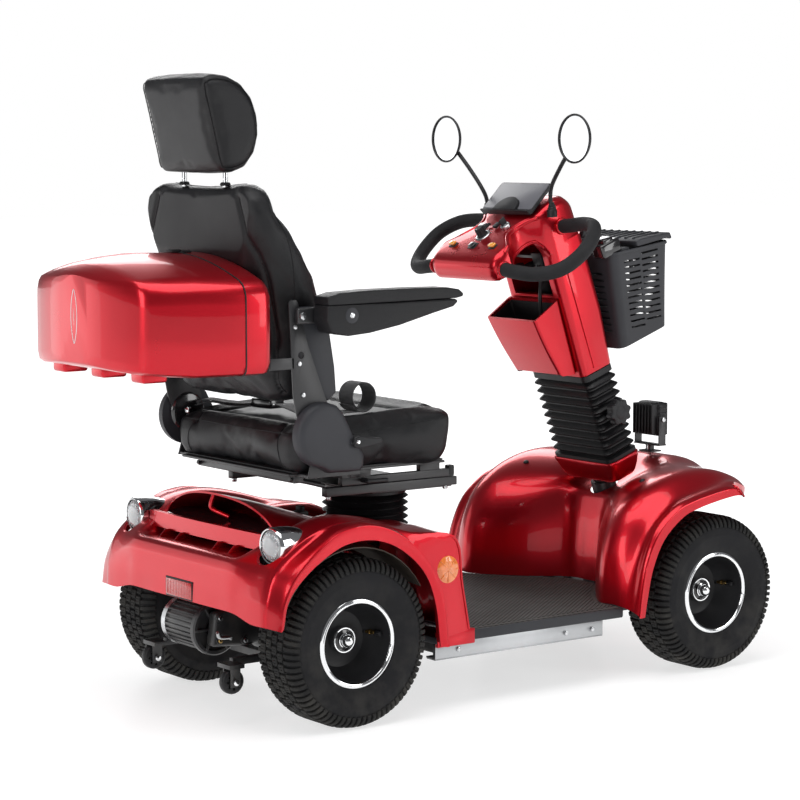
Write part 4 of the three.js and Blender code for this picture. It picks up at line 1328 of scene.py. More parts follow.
def tiller_cover():
    console = skin(
        "console",
        [[(v, y, u) for y, u in round_rect(-half, half, low, top, r, 6)] for v, half, low, top, r in CONSOLE],
    )
    tower = skin(
        "tower",
        [
            ring_at(204.5, -43, 43, 91, 13, 6), ring_at(207, -44, 44, 92, 14, 6),
            ring_at(330, -42, 57, 93, 16, 6), ring_at(440, -41, 59, 93, 18, 6),
            ring_at(500, -40, 60, 93, 20, 6),
        ],
    )
    hollow = skin(
        "hollow",
        [ring_at(195, -37, 37, 80, 12), ring_at(330, -35, 49, 80, 12), ring_at(455, -33, 50, 80, 12)],
    )
    window = block("window", (-60, 34), (-64, 64), (392, 524), 0)
    with_modifier(tower, "BOOLEAN", object=console, operation="UNION", solver="EXACT")
    bpy.data.objects.remove(console)
    cut(tower, hollow, window)
    for s in (1, -1):
        cut(tower, block("groove", (-13, -9.5), sorted((s * 90.6, s * 96)), (214, 452), 0))
    piece = settle(tower, TILLER, "tiller", RED, 32)
    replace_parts(piece, "tiller_cover")
    # rolled rims of the two hand openings
    for hand, s in SIDES:
        rim = [
            (-166, s * 108, 541), (-150, s * 103, 549), (-136, s * 87, 554), (-118, s * 71, 560),
            (-96, s * 64.5, 563), (-74, s * 66, 566), (-56, s * 76, 569), (-44, s * 88, 570),
        ]
        settle(pipe(f"{hand}_opening_rim", rim, 4.6, 40, 10), TILLER, "tiller", RED, 60)
        inner = [
            (-150, s * 101, 500), (-136, s * 84, 503), (-118, s * 69, 509), (-96, s * 62, 515),
            (-74, s * 63, 520), (-56, s * 74, 520), (-46, s * 86, 504),
        ]
        settle(pipe(f"{hand}_opening_lower_rim", inner, 3.4, 36, 8), TILLER, "tiller", RED, 60)
        lower = drum(f"{hand}_grip_collar", (-183.5, s * 112.6, 512), (-183.5, s * 119, 511.4), 17.5, 2.2, 40)
        settle(lower, TILLER, "tiller", RED, 50)
        upper = drum(f"{hand}_grip_upper_collar", (8, s * 92, 532), (8, s * 99, 532), 18, 2.4, 40)
        settle(upper, TILLER, "tiller", RED, 50)


def hand_grips():
    """Foam-covered loops, one each side."""
    for hand, s in SIDES:
        path = [(-183.5, 116, 511.5), (-184, 150, 508), (-172, 200, 500), (-140, 243, 500), (-96, 262, 514),
                (-52, 256, 532), (-14, 224, 542), (6, 172, 540), (8, 120, 534), (8, 96, 532)]
        loop = pipe(f"{hand}_foam_grip", [(v, s * y, u) for v, y, u in path], 15, 72, 18)
        piece = settle(loop, TILLER, "tiller", FOAM, 60)
        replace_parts(piece, f"{hand}_hand_grip")


def bin_skin(name, v_rear, v_front, u_low, u_high, half_low, half_high, rise, corner):
    """The bin's walls: a ring at the foot and one at the rim."""
    rings = []
    for k in range(7):
        t = k / 6
        low = v_rear[0] * (1 - t) + v_rear[1] * t
        half = half_low * (1 - t) + half_high * t
        belly = 3 * math.sin(math.pi * t)
        ring = []
        for v, y in round_rect(low - belly, v_front, -half, half, corner, 5):
            u = u_low * (1 - t) + u_high * t + rise * t * (v - low) / (v_front - low)
            lift = (1 - t) * 16 * max(0.0, (v_front - 30 - v) / (v_front - 30 - low))
            ring.append((v, y, u + lift))
        rings.append(ring)
    return skin(name, rings)


def storage_bin():
    outer = bin_skin("bin_body", (-90, -121), -44.6, 215, 366, 75, 82, 20, 7)
    inner = bin_skin("bin_room", (-85, -116.5), -49, 222, 372, 71, 77.6, 20, 5)
    cut(outer, inner)
    piece = settle(outer, TILLER, "tiller", RED, 35)
    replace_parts(piece, "storage_bin")
    lining = bin_skin("bin_lining", (-84.4, -115.8), -49.6, 223, 360, 70.4, 77, 19, 5)
    hollow = bin_skin("bin_hollow", (-82.8, -114.2), -51, 226, 372, 69, 75.6, 20, 5)
    cut(lining, hollow)
    settle(lining, TILLER, "tiller", PLASTIC, 35)
    cable = pipe(
        "bin_cable",
        [(-36, -36, 464), (-42, -38, 430), (-58, -40, 395), (-66, -30, 340), (-70, -8, 300)],
        4,
        30,
        8,
    )
    settle(cable, TILLER, "tiller", GAITER_RUBBER, 60)


DISPLAY_TILT = math.atan2(37, 78)


def display():
    """Tilted tablet rest: a grey panel, a raised rim, a half-round pocket and its neck."""
    mid_v, mid_u = -17.5, 602.5
    turn = Matrix.Translation((mid_v, 0, mid_u)) @ Matrix.Rotation(-DISPLAY_TILT, 4, "Y")

    def here(obj):
        obj.data.transform(turn)
        return obj

    outline = round_rect(-43.5, 43.5, -83.5, 83.5, 8, 5)
    base = here(plan_plate("display_base", outline, -4, 3.4, 1.4, 2))
    piece = settle(base, TILLER, "tiller", PLASTIC)
    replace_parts(piece, "display_holder")
    face = here(plan_plate("display_face", round_rect(-34, 41.5, -80.5, 80.5, 5, 5), 2, 4.4, 0.5, 2))
    settle(face, TILLER, "tiller", PANEL_GREY)
    half = [(-41, -38), (-41, 38)] + [
        (-34 + 30 * math.sin(math.pi * i / 20), 36 * math.cos(math.pi * i / 20)) for i in range(1, 20)
    ]
    pocket = here(plan_plate("display_pocket", half, 3, 11, 1.6, 2))
    settle(pocket, TILLER, "tiller", PLASTIC)
    ledge = here(block("display_ledge", (-43, -39), (-80, 80), (0, 9), 1.4))
    settle(ledge, TILLER, "tiller", PLASTIC)
    neck = here(side_plate("neck", [(-24, -18), (24, -26), (28, -3), (-30, -3)], -36, 36, 3))
    neck.name = "display_neck"
    settle(neck, TILLER, "tiller", PLASTIC)


def top_at(v):
    """Height of the console's sloping top."""
    return 549 + (v + 166) * 14 / 44


TOP_TILT = math.atan2(14, 44)


def on_top(v, y, lift):
    """A place above the console's sloping top."""
    return Vector((v - math.sin(TOP_TILT) * lift, y, top_at(v) + math.cos(TOP_TILT) * lift))


def controls():
    """Speed knob with its dial, indicator and horn buttons, key, rocker, gauge and throttle."""
    normal = (-math.sin(TOP_TILT), 0, math.cos(TOP_TILT))
    bezel = turned(
        "speed_bezel",
        [(0, -2), (17.5, -2), (17.5, 1.4), (16, 2.6), (13, 2.8), (0, 2.8)],
        on_top(-128, 0, 0),
        normal,
        48,
    )
    settle(bezel, TILLER, "tiller", BRIGHT_STEEL, 40)
    ridges = []
    for i in range(96):
        a = math.tau * i / 96
        ridges.append((10.4 + 0.5 * math.cos(12 * a), a))
    rings = []
    for lift, scale in ((3.2, 1.12), (5, 1.1), (6, 1.0), (19, 0.93), (21, 0.9), (22, 0.8)):
        ring = []
        for r, a in ridges:
            p = turn_to(normal) @ Vector((r * scale * math.cos(a), r * scale * math.sin(a), lift))
            ring.append(on_top(-128, 0, 0) + p)
        rings.append(ring)
    knob = settle(skin("speed_control_knob", rings), TILLER, "speed_dial", PLASTIC, 40)
    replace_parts(knob, "speed_knob")
    mark = drum("speed_knob_pointer", on_top(-134, 0, 21.6), on_top(-134, 0, 22.5), 1.5, 0.2, 16)
    settle(mark, TILLER, "speed_dial", CHROME)
    for k in range(11):
        a = math.radians(-150 + 30 * k)
        spot = turn_to(normal) @ Vector((21 * math.cos(a), 21 * math.sin(a), 0))
        dot = drum(f"speed_mark_{k}", on_top(-128, 0, 0.2) + spot, on_top(-128, 0, 1.0) + spot, 1.1, 0.2, 12)
        settle(dot, TILLER, "tiller", CHROME)

    def button(name, y, half_v, half_y, low, high, body, material, slot):
        place = Matrix.Translation(on_top(-160, y, 0)) @ Matrix.Rotation(-TOP_TILT, 4, "Y")
        key = block(name, (-half_v, half_v), (-half_y, half_y), (low, high), 2.0, 3)
        key.data.transform(place)
        return settle(key, TILLER, body, material)

    for hand, s in SIDES:
        y = s * 67
        button(f"{hand}_indicator_frame", y, 7.6, 10.6, -1, 1.6, "tiller", PLASTIC, "black_plastic")
        key = button(
            f"{hand}_indicator_key", y, 5.8, 8.6, 2.6, 8, f"{hand}_indicator", AMBER, "amber_plastic",
        )
        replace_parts(key, f"{hand}_indicator_button")
    button("horn_frame", 0, 9.4, 11.6, -1, 1.3, "tiller", PLASTIC, "black_plastic")
    key = button("horn_key", 0, 7, 9, 2.7, 6, "horn", GLOSS_BLACK, "black_plastic")
    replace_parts(key, "horn_button")
    lock = turned(
        "key_lock_face", [(0, 2), (8, 2), (9.5, 4), (11, 3), (11.4, -2), (0, -2)], on_top(-96, -42, 0),
        normal, 40,
    )
    settle(lock, TILLER, "tiller", BRIGHT_STEEL, 40)
    blade = block("key_grip", (-8, 8), (-1.6, 1.6), (4, 20), 1.4)
    blade.data.transform(Matrix.Translation(on_top(-96, -42, 0)) @ Matrix.Rotation(-TOP_TILT, 4, "Y"))
    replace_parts(settle(blade, TILLER, "key", PLASTIC), "key_switch")
    rocker = block("lamp_rocker", (-8, 8), (-6, 6), (-1, 5), 1.6)
    rocker.data.transform(Matrix.Translation(on_top(-96, -14, 0)) @ Matrix.Rotation(-TOP_TILT, 4, "Y"))
    settle(rocker, TILLER, "tiller", PLASTIC)
    gauge = block("charge_gauge", (-10, 10), (12, 46), (-1, 2.4), 1.2)
    gauge.data.transform(Matrix.Translation(on_top(-100, 0, 0)) @ Matrix.Rotation(-TOP_TILT, 4, "Y"))
    settle(gauge, TILLER, "tiller", GLOSS_BLACK)

    lever = joined(
        "throttle_bar",
        drum("hub", (-62, 0, 447), (-62, 0, 469), 13, 1.5),
        drum("stem", (-60, 0, 455), (-20, 0, 455), 7),
        pipe(
            "paddles",
            [
                (-96, -111, 470), (-84, -70, 466), (-64, -10, 462), (-64, 10, 462), (-84, 70, 466),
                (-96, 111, 470),
            ],
            6,
            40,
            10,
        ),
    )
    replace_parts(settle(lever, TILLER, "throttle", PLASTIC, 50), "throttle_lever")
    relay = block("console_relay", (-44, -22), (-58, -30), (462, 490), 3)
    settle(relay, TILLER, "tiller", PLASTIC)


def mirrors():
    """Round heads on bent stalks, glass facing the rider."""
    for hand, s in SIDES:
        head = Vector((619, s * 216, 1125))
        body = f"{hand}_mirror_arm"
        shell = turned(
            f"{hand}_mirror_shell",
            [
                (0, -6), (20, -5.6), (38, -3.6), (48, 0.2), (50.8, 4), (51, 6), (49.8, 7.6), (47.6, 7.4),
                (46.6, 5.6), (46.4, 3.8), (0, 3.6),
            ],
            head,
            (-1, 0, 0),
            72,
        )
        piece = settle(shell, BODY, body, PLASTIC, 40)
        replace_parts(piece, f"{hand}_mirror")
        glass = turned(
            f"{hand}_mirror_glass", [(0, 5.4), (30, 5.2), (46.2, 4.6), (46.4, 3.8), (0, 3.8)], head,
            (-1, 0, 0), 72,
        )
        settle(glass, BODY, body, GLASS, 40)
        stalk = pipe(
            f"{hand}_mirror_stalk",
            [
                (645, s * 108, 980), (640, s * 109, 1002), (633, s * 122, 1028), (628, s * 152, 1062),
                (624, s * 180, 1090), (623, s * 190, 1099),
            ],
            4.4,
            30,
            10,
        )
        settle(stalk, BODY, body, PLASTIC, 60)
        boot = turned(
            f"{hand}_mirror_boot",
            [
                (0, -16), (11, -15), (11, -2), (9, 1), (9.6, 4), (7.6, 6), (8, 9), (5.6, 11), (5, 16),
                (0, 16),
            ],
            (645.5, s * 108, 977),
            (-0.04, 0, 1),
            32,
        )
        settle(boot, BODY, body, GAITER_RUBBER, 40)
        knuckle = drum(
            f"{hand}_mirror_knuckle", head + Vector((6, -s * 26, -26)), head + Vector((2, -s * 19, -18)), 7,
            1.5, 24,
        )
        settle(knuckle, BODY, body, PLASTIC)


def basket():
    """Slotted box with a bridge, a hinged lid and a latch."""
    outer = []
    inner = []
    for k in range(6):
        t = k / 5
        v0, v1, half = 66 + 26 * t, 205 + 51 * t, 108 + 17 * t
        outer.append(
            [
                (v, y, 226 + t * (210 - (v - 92) * 0.2))
                for v, y in round_rect(v0, v1, -half, half, 18 + 3 * t, 5)
            ]
        )
        inner.append([(v, y, 230 + t * (216 - (v - 92) * 0.2)) for v, y in
                      round_rect(v0 + 4, v1 - 4, -half + 4, half - 4, 15 + 3 * t, 5)])
    walls = cut(skin("basket_walls", outer), skin("room", inner))
    slots = []
    end_slots = []
    rows = 12
    for i in range(rows):
        u = 252 + 13.2 * i
        shift = 0.24 * (u - 226)
        for v0, v1 in ((100, 139), (146, 186)):
            near = v0 + shift * (0.5 if v0 == 100 else 0.62)
            far = v1 + shift * (0.62 if v0 == 100 else 0.8)
            ends = [(near, u + 7), (far, u - 2), (far, u + 2.6), (near, u + 11.6)]
            slots.append(side_plate("slot", ends, -150, 150, 0))
    for i in range(10):
        u = 262 + 14 * i
        for y0, y1 in ((-84, -4), (4, 84)):
            end_slots.append(block("slot", (50, 130), (y0, y1), (u, u + 5), 0))
            end_slots.append(block("slot", (180, 280), (y0, y1), (u - 18, u - 13), 0))
    cut(walls, joined("slots", *slots), joined("end_slots", *end_slots))
    rib = skin("rim", [
        [(v, y, 430 - (v - 92) * 0.2) for v, y in round_rect(90, 258, -126.5, 126.5, 22, 5)],
        [(v, y, 437 - (v - 92) * 0.2) for v, y in round_rect(90, 258, -126.5, 126.5, 22, 5)],
    ])
    cut(rib, skin("hole", [
        [(v, y, 420 - (v - 92) * 0.2) for v, y in round_rect(97, 251, -120, 120, 18, 5)],
        [(v, y, 447 - (v - 92) * 0.2) for v, y in round_rect(97, 251, -120, 120, 18, 5)],
    ]))
    piece = settle(walls, TILLER, "tiller", SATIN_PLASTIC, 32)
    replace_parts(piece, "basket")
    settle(rounded(rib, 1.2), TILLER, "tiller", SATIN_PLASTIC, 32).name = "basket_rim"
    bridge = side_plate("basket_bridge", [(94, 430), (149, 419), (150, 430), (94, 441)], -117, 117, 2)
    settle(bridge, TILLER, "tiller", SATIN_PLASTIC)
    for hand, s in SIDES:
        arm = joined(
            f"{hand}_basket_arm",
            pipe("bar", [(116, s * 92, 436), (96, s * 88, 462), (74, s * 80, 490)], 6.2, 16, 10),
            drum("foot", (70, s * 80, 492), (62, s * 79, 496), 11, 1.5),
        )
        settle(arm, TILLER, "tiller", PLASTIC, 50)
    latch = joined(
        "basket_latch",
        block("latch_body", (72, 128), (-122, -84), (430, 462), 7, 3),
        block("latch_tab", (84, 112), (-120, -88), (456, 470), 5, 3),
    )
    settle(latch, TILLER, "tiller", GLOSS_BLACK)
    carrier = joined(
        "basket_carrier",
        block("plate", (60.5, 66), (-46, 46), (292, 352), 1.5),
        *[block("rail", (62, 74), sorted((s * 26, s * 34)), (236, 420), 1.5) for s in (1, -1)],
    )
    settle(carrier, TILLER, "tiller", FRAME_PAINT)
    lid = side_plate(
        "lid",
        [(164, 425), (164, 437), (186, 436), (262, 420), (263.5, 406), (258, 405.5), (250, 411)],
        -127,
        127,
        2.6,
        3,
    )
    ribs = [
        side_plate("lid_rib", [(176, 436), (180, 439.5), (252, 425.5), (254, 421)], y - 2, y + 2, 0.8)
        for y in range(-100, 101, 25)
    ]
    barrel = drum("lid_barrel", (158, -60, 440), (158, 60, 440), 8, 1.4)
    knuckles = [drum("lid_knuckle", (158, y - 10, 440), (158, y + 10, 440), 9, 1.4) for y in (-48, 0, 48)]
    web = block("lid_web", (158, 172), (-60, 60), (430, 438), 1.5)
    cover = settle(
        joined("basket_cover", lid, *ribs, barrel, *knuckles, web), TILLER, "basket_cover", SATIN_PLASTIC,
    )
    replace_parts(cover, "basket_lid")


def headlamp():
    """Finned work lamp on a chrome stirrup."""
    shell = block("headlamp_shell", (1014, 1044), (-36, 36), (467, 543), 9, 3)
    fins = [block("fin", (1000, 1020), (y - 1.8, y + 1.8), (471, 539), 1.2) for y in range(-30, 31, 10)]
    ribs = [block("rib", (1018, 1040), (-37.5, 37.5), (z - 2, z + 2), 1.2) for z in (480, 492, 505, 518, 530)]
    bezel = block("bezel", (1040, 1046), (-34, 34), (469, 541), 2.5)
    piece = settle(
        joined("headlamp_body", shell, *fins, *ribs, bezel), BODY, "lamp", PLASTIC,
    )
    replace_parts(piece, "headlamp")
    for i, (y, z) in enumerate(((-17, 487), (17, 487), (-17, 523), (17, 523))):
        cell = turned(
            f"headlamp_cell_{i}", [(0, 1.2), (9, 0.8), (13.5, -0.4), (14, -2), (0, -2)], (1045.6, y, z),
            (1, 0, 0), 32,
        )
        settle(cell, BODY, "lamp", CLEAR, 40)
    for hand, s in SIDES:
        bolt = drum(f"{hand}_headlamp_bolt", (1025, s * 36.5, 505), (1025, s * 45, 505), 6, 1.2, 6)
        settle(bolt, BODY, "chassis", BRIGHT_STEEL)
    stem = drum("headlamp_stud", (1024, 0, 425), (1024, 0, 447), 7, 1.2, 24)
    settle(stem, BODY, "chassis", BRIGHT_STEEL)


column_and_collar()
bellows()
tilt_knob()
tiller_cover()
hand_grips()
storage_bin()
display()
controls()
mirrors()
basket()
headlamp()


# ---------- seat ----------
HIP_X = -35
HIP_Z = 562


def swollen(obj, voxel, pressure, cap, steps=20):
    """Pads a closed form: remeshed, blown up a little by cloth simulation, then smoothed."""
    obj.data.transform(BODY)
    only(obj)
    with_modifier(obj, "REMESH", mode="VOXEL", voxel_size=voxel)
    rest = [v.co.copy() for v in obj.data.vertices]
    cloth = obj.modifiers.new("Cloth", "CLOTH")
    cloth.settings.use_pressure = True
    cloth.settings.uniform_pressure_force = pressure
    cloth.settings.effector_weights.gravity = 0
    cloth.settings.quality = 4
    cloth.settings.mass = 0.4
    cloth.settings.tension_stiffness = 22
    cloth.settings.compression_stiffness = 22
    cloth.settings.bending_stiffness = 1.5
    cloth.collision_settings.use_collision = False
    cloth.point_cache.frame_start = 1
    cloth.point_cache.frame_end = steps
    scene = bpy.context.scene
    for step in range(1, steps + 1):
        scene.frame_set(step)
    only(obj)
    bpy.ops.object.modifier_apply(modifier=cloth.name)
    scene.frame_set(1)
    for vertex, start in zip(obj.data.vertices, rest):
        shift = vertex.co - start
        if shift.length > cap:
            vertex.co = start + shift * (cap / shift.length)
    with_modifier(obj, "SMOOTH", factor=0.5, iterations=4)
    with_modifier(obj, "SUBSURF", levels=1, render_levels=1)
    return obj


def kept_within(obj, node, spare=0.006):
    """Holds every point of a padded piece inside its CAD solid's box, with a little to spare."""
    low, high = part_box(node)
    for vertex in obj.data.vertices:
        for k in range(3):
            vertex.co[k] = min(max(vertex.co[k], low[k] - spare), high[k] + spare)


def press_channels(obj, paths, depth=0.0045, width=0.006):
    """Presses sewn channels into a padded piece along paths near its surface."""
    points = [point for path in paths for point in path]
    tree = KDTree(len(points))
    for index, point in enumerate(points):
        tree.insert(point, index)
    tree.balance()
    normals = [vertex.normal.copy() for vertex in obj.data.vertices]
    for vertex, normal in zip(obj.data.vertices, normals):
        away = tree.find(vertex.co)[2]
        if away < width * 2.4:
            vertex.co -= normal * depth * math.exp(-((away / width) ** 2))


def on_surface(obj, points, toward):
    """Drops a path onto a piece along a direction, back to a list of places in metres."""
    bm = bmesh.new()
    bm.from_mesh(obj.data)
    surface = BVHTree.FromBMesh(bm)
    bm.free()
    toward = Vector(toward).normalized()
    found = []
    for point in points:
        start = BODY @ Vector(point) - toward * 0.25
        hit = surface.ray_cast(start, toward)[0]
        if hit is not None:
            found.append(hit)
    return found


def sewn_line(name, obj, points, toward, body, count=60, radius=0.0012):
    """A line of piping laid on a padded piece."""
    path = on_surface(obj, curve_through(points, count), toward)
    if len(path) < 4:
        return []
    cordlet = pipe(name, path, radius, len(path), 6, smooth=False)
    settle(cordlet, Matrix(), body, PIPING, 60)
    return path


def cushion_ring(z, x0, x1, half, r, lift=0.0, corner=6):
    """A ring of the seat cushion; lift raises its front."""
    return [
        (x, y, z + lift * max(0.0, x - x0) / (x1 - x0))
        for x, y in round_rect(x0, x1, -half, half, r, corner)
    ]


def seat_pad():
    rings = [
        cushion_ring(489, -66, 284, 204, 34),
        cushion_ring(496, -76, 292, 216, 34),
        cushion_ring(516, -82, 299, 224, 34),
        cushion_ring(546, -82, 304, 226, 34, 14),
        cushion_ring(564, -78, 305, 224, 32, 22),
        cushion_ring(573, -68, 294, 214, 30, 22),
        cushion_ring(572, -56, 282, 196, 30, 20),
        cushion_ring(562, -36, 262, 168, 30, 20),
        cushion_ring(556, 0, 230, 120, 30, 16),
    ]
    pad = swollen(skin("seat_pad", rings), 0.006, 3.2, 0.012)
    kept_within(pad, "seat_cushion")
    front_seam = [(235, y, 600) for y in range(-165, 166, 30)]
    top_seams = [
        [(-70, s * 150, 600), (40, s * 158, 600), (160, s * 166, 600), (285, s * 176, 600)]
        for s in (1, -1)
    ]
    press_channels(
        pad,
        [on_surface(pad, curve_through(seam, 50), (0, 0, -1)) for seam in (*top_seams, front_seam)],
    )
    piece = settle(pad, Matrix(), "seat", LEATHER, 180)
    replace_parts(piece, "seat_cushion")
    for k, s in enumerate((1, -1)):
        sewn_line(f"seat_top_seam_{k}", pad, top_seams[k], (0, 0, -1), "seat")
        sewn_line(
            f"seat_side_seam_{k}",
            pad,
            [(-60, s * 300, 552), (60, s * 300, 556), (180, s * 300, 566), (290, s * 300, 574)],
            (0, -s, 0),
            "seat",
            70,
        )
        sewn_line(
            f"seat_rear_seam_{k}",
            pad,
            [(-200, s * 168, 495), (-200, s * 166, 520), (-200, s * 158, 548), (-200, s * 150, 562)],
            (1, 0, 0),
            "seat",
            30,
        )
    sewn_line("seat_front_top_seam", pad, front_seam, (0, 0, -1), "seat")
    sewn_line(
        "seat_rear_top_seam", pad, [(-200, y, 560) for y in range(-190, 191, 20)], (1, 0, 0), "seat", 70,
    )
    tray = side_plate("seat_pan", [(-70, 484.6), (290, 484.6), (292, 488.8), (-72, 488.8)], -198, 198, 1.2)
    settle(tray, BODY, "seat", PLASTIC)


def back_ring(z, x0, x1, half, r, corner=6, bow=0.0):
    """A level ring of the backrest; bow brings its sides forward."""
    return [(x + bow * (abs(y) / half) ** 2, y, z) for x, y in round_rect(x0, x1, -half, half, r, corner)]


def backrest_pad():
    rings = [
        back_ring(622, -88, -10, 160, 30),
        back_ring(634, -100, 0, 184, 34, bow=4),
        back_ring(660, -110, 2, 196, 38, bow=6),
        back_ring(720, -122, 2, 200, 40, bow=8),
        back_ring(800, -132, 4, 204, 40, bow=8),
        back_ring(860, -140, -14, 205, 40, bow=6),
        back_ring(905, -148, -38, 207, 36, bow=4),
        back_ring(950, -158, -66, 208, 32, bow=3),
        back_ring(990, -162, -96, 205, 24, bow=2),
        back_ring(1014, -162, -104, 196, 20),
        back_ring(1031, -159, -108, 178, 18),
        back_ring(1041, -154, -114, 152, 14),
    ]
    pad = swollen(skin("backrest_pad", rings), 0.006, 3.2, 0.011)
    kept_within(pad, "backrest_cushion")
    front = [
        [(80, s * 128, 640), (80, s * 136, 760), (80, s * 134, 900), (80, s * 112, 1000)]
        for s in (1, -1)
    ]
    rear = [
        [(-300, s * 178, 640), (-300, s * 184, 780), (-300, s * 178, 920), (-300, s * 146, 1012)]
        for s in (1, -1)
    ]
    channels = [on_surface(pad, curve_through(seam, 60), (-1, 0, 0)) for seam in front]
    for z in (700, 800, 900):
        across = [(80, -120, z), (80, -60, z + 6), (80, 0, z + 8), (80, 60, z + 6), (80, 120, z)]
        channels.append(on_surface(pad, curve_through(across, 40), (-1, 0, 0)))
    channels += [on_surface(pad, curve_through(seam, 60), (1, 0, 0)) for seam in rear]
    press_channels(pad, channels)
    piece = settle(pad, Matrix(), "backrest", LEATHER, 180)
    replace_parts(piece, "backrest_cushion")
    for k, s in enumerate((1, -1)):
        sewn_line(f"backrest_front_seam_{k}", pad, front[k], (-1, 0, 0), "backrest")
        sewn_line(f"backrest_rear_seam_{k}", pad, rear[k], (1, 0, 0), "backrest")
        sewn_line(
            f"backrest_side_seam_{k}",
            pad,
            [(-52, s * 320, 640), (-64, s * 320, 780), (-76, s * 320, 900), (-100, s * 320, 985)],
            (0, -s, 0),
            "backrest",
        )
        sleeve = turned(
            f"headrest_guide_{k}", [(5.6, 0), (9.5, 0), (10.5, 2), (9, 6), (6, 7), (5.6, 7)],
            (-140, s * 75, 1034), (0, 0, 1), 32, closed=True,
        )
        settle(sleeve, BODY, "backrest", PLASTIC, 40)
    sewn_line(
        "backrest_top_seam", pad, [(-126, y, 1100) for y in range(-130, 131, 20)], (0, 0, -1), "backrest",
        50,
    )


def headrest_pad():
    side = [
        (-215, 1228), (-209, 1241), (-190, 1246), (-160, 1243), (-129, 1229), (-104, 1202), (-91, 1166),
        (-89, 1130), (-98, 1096), (-119, 1069), (-148, 1058), (-167, 1058), (-175, 1066), (-186, 1110),
        (-201, 1172),
    ]
    rings = []
    for y, scale in (
        (-118, 0.84), (-117, 0.93), (-112, 0.985), (-104, 1.0), (0, 1.02), (104, 1.0), (112, 0.985),
        (117, 0.93), (118, 0.84),
    ):
        rings.append([(-153 + (x + 153) * scale, y, 1156 + (z - 1156) * scale) for x, z in side])
    pad = swollen(skin("headrest_pad", rings), 0.005, 2.6, 0.003)
    kept_within(pad, "headrest", 0.018)
    seams = []
    for s in (1, -1):
        outline = [(-153 + (x + 153) * 0.9, s * 300, 1156 + (z - 1156) * 0.9) for x, z in side]
        seams.append(on_surface(pad, curve_through(outline, 90, True), (0, -s, 0)))
    press_channels(pad, seams, 0.002)
    piece = settle(pad, Matrix(), "head_support", LEATHER, 180)
    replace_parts(piece, "headrest")
    for k, path in enumerate(seams):
        settle(
            pipe(f"headrest_side_seam_{k}", path, 0.0011, len(path), 6, closed=True, smooth=False),
            Matrix(),
            "head_support",
            PIPING,
            60,
        )
    for k, s in enumerate((1, -1)):
        post = drum(f"headrest_post_{k}", (-140, s * 75, 985), (-140, s * 75, 1085), 5, 1, 24)
        for z in (1000, 1015, 1030, 1045):
            cut(post, block("notch", (-147, -143.6), (s * 75 - 6, s * 75 + 6), (z, z + 3), 0))
        settle(post, BODY, "head_support", CHROME)


def armrests():
    for hand, s in SIDES:
        pad = side_plate(
            "pad",
            [
                (-58, 828), (-30, 835), (40, 838), (150, 838.5), (225, 837.5), (252, 833), (263, 825),
                (262, 819), (246, 816), (100, 814), (-56, 812),
            ],
            s * 252,
            s * 302,
            7,
            4,
        )
        pad = settle(pad, BODY, f"{hand}_arm", ARM_PAD, 40)
        pad.name = f"{hand}_armrest_pad"
        shell = side_plate(
            "shell",
            [
                (-58, 812), (100, 812.4), (244, 815), (250, 810), (238, 800), (190, 789), (110, 769),
                (40, 757), (-10, 753), (-48, 760), (-59, 784),
            ],
            s * 251,
            s * 303,
            5,
            3,
        )
        shell.name = f"{hand}_armrest_shell"
        piece = settle(shell, BODY, f"{hand}_arm", ARM_PAD, 40)
        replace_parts(piece, f"{hand}_armrest")
        lug = block(f"{hand}_armrest_lug", (-92, -48), sorted((s * 239, s * 252)), (776, 806), 4, 3)
        settle(lug, BODY, f"{hand}_arm", SEAT_STEEL)
        disc = turned(
            f"{hand}_armrest_disc", [(0, 1.6), (12, 1.4), (15, 0.2), (15, -2), (0, -2)], (-4, s * 303, 792),
            (0, s, 0), 40,
        )
        settle(disc, BODY, f"{hand}_arm", SATIN_PLASTIC, 40)
        screw = turned(
            f"{hand}_armrest_screw", [(0, 3), (4, 2.6), (5.4, 1), (5.4, -1), (0, -1)], (-4, s * 303.6, 792),
            (0, s, 0), 24,
        )
        settle(screw, BODY, f"{hand}_arm", BRIGHT_STEEL, 40)
        bolt = drum(f"{hand}_armrest_pivot", (-82, s * 236, 791), (-82, s * 256, 791), 8, 1.5, 6)
        settle(bolt, BODY, f"{hand}_arm", BRIGHT_STEEL)


def hip_shield(hand, s):
    """Teardrop cover over the recline hinge: a domed disc that runs into a low foot."""
    outline = []
    for i in range(25):
        a = math.radians(62 + 200 * i / 24)
        outline.append((HIP_X + 63 * math.cos(a), HIP_Z + 63 * math.sin(a)))
    outline += [(-22, 488), (20, 487), (50, 487.5), (57, 498), (58, 516), (50, 530), (30, 562), (8, 604)]
    layers = []
    for d, shrink in ((239, 1.0), (250, 0.995), (257, 0.965), (260.5, 0.90), (262, 0.74), (262.4, 0.4)):
        layers.append([(HIP_X + (x - HIP_X) * shrink, s * d, 546 + (z - 546) * shrink) for x, z in outline])
    return skin(f"{hand}_hip_shield", layers)


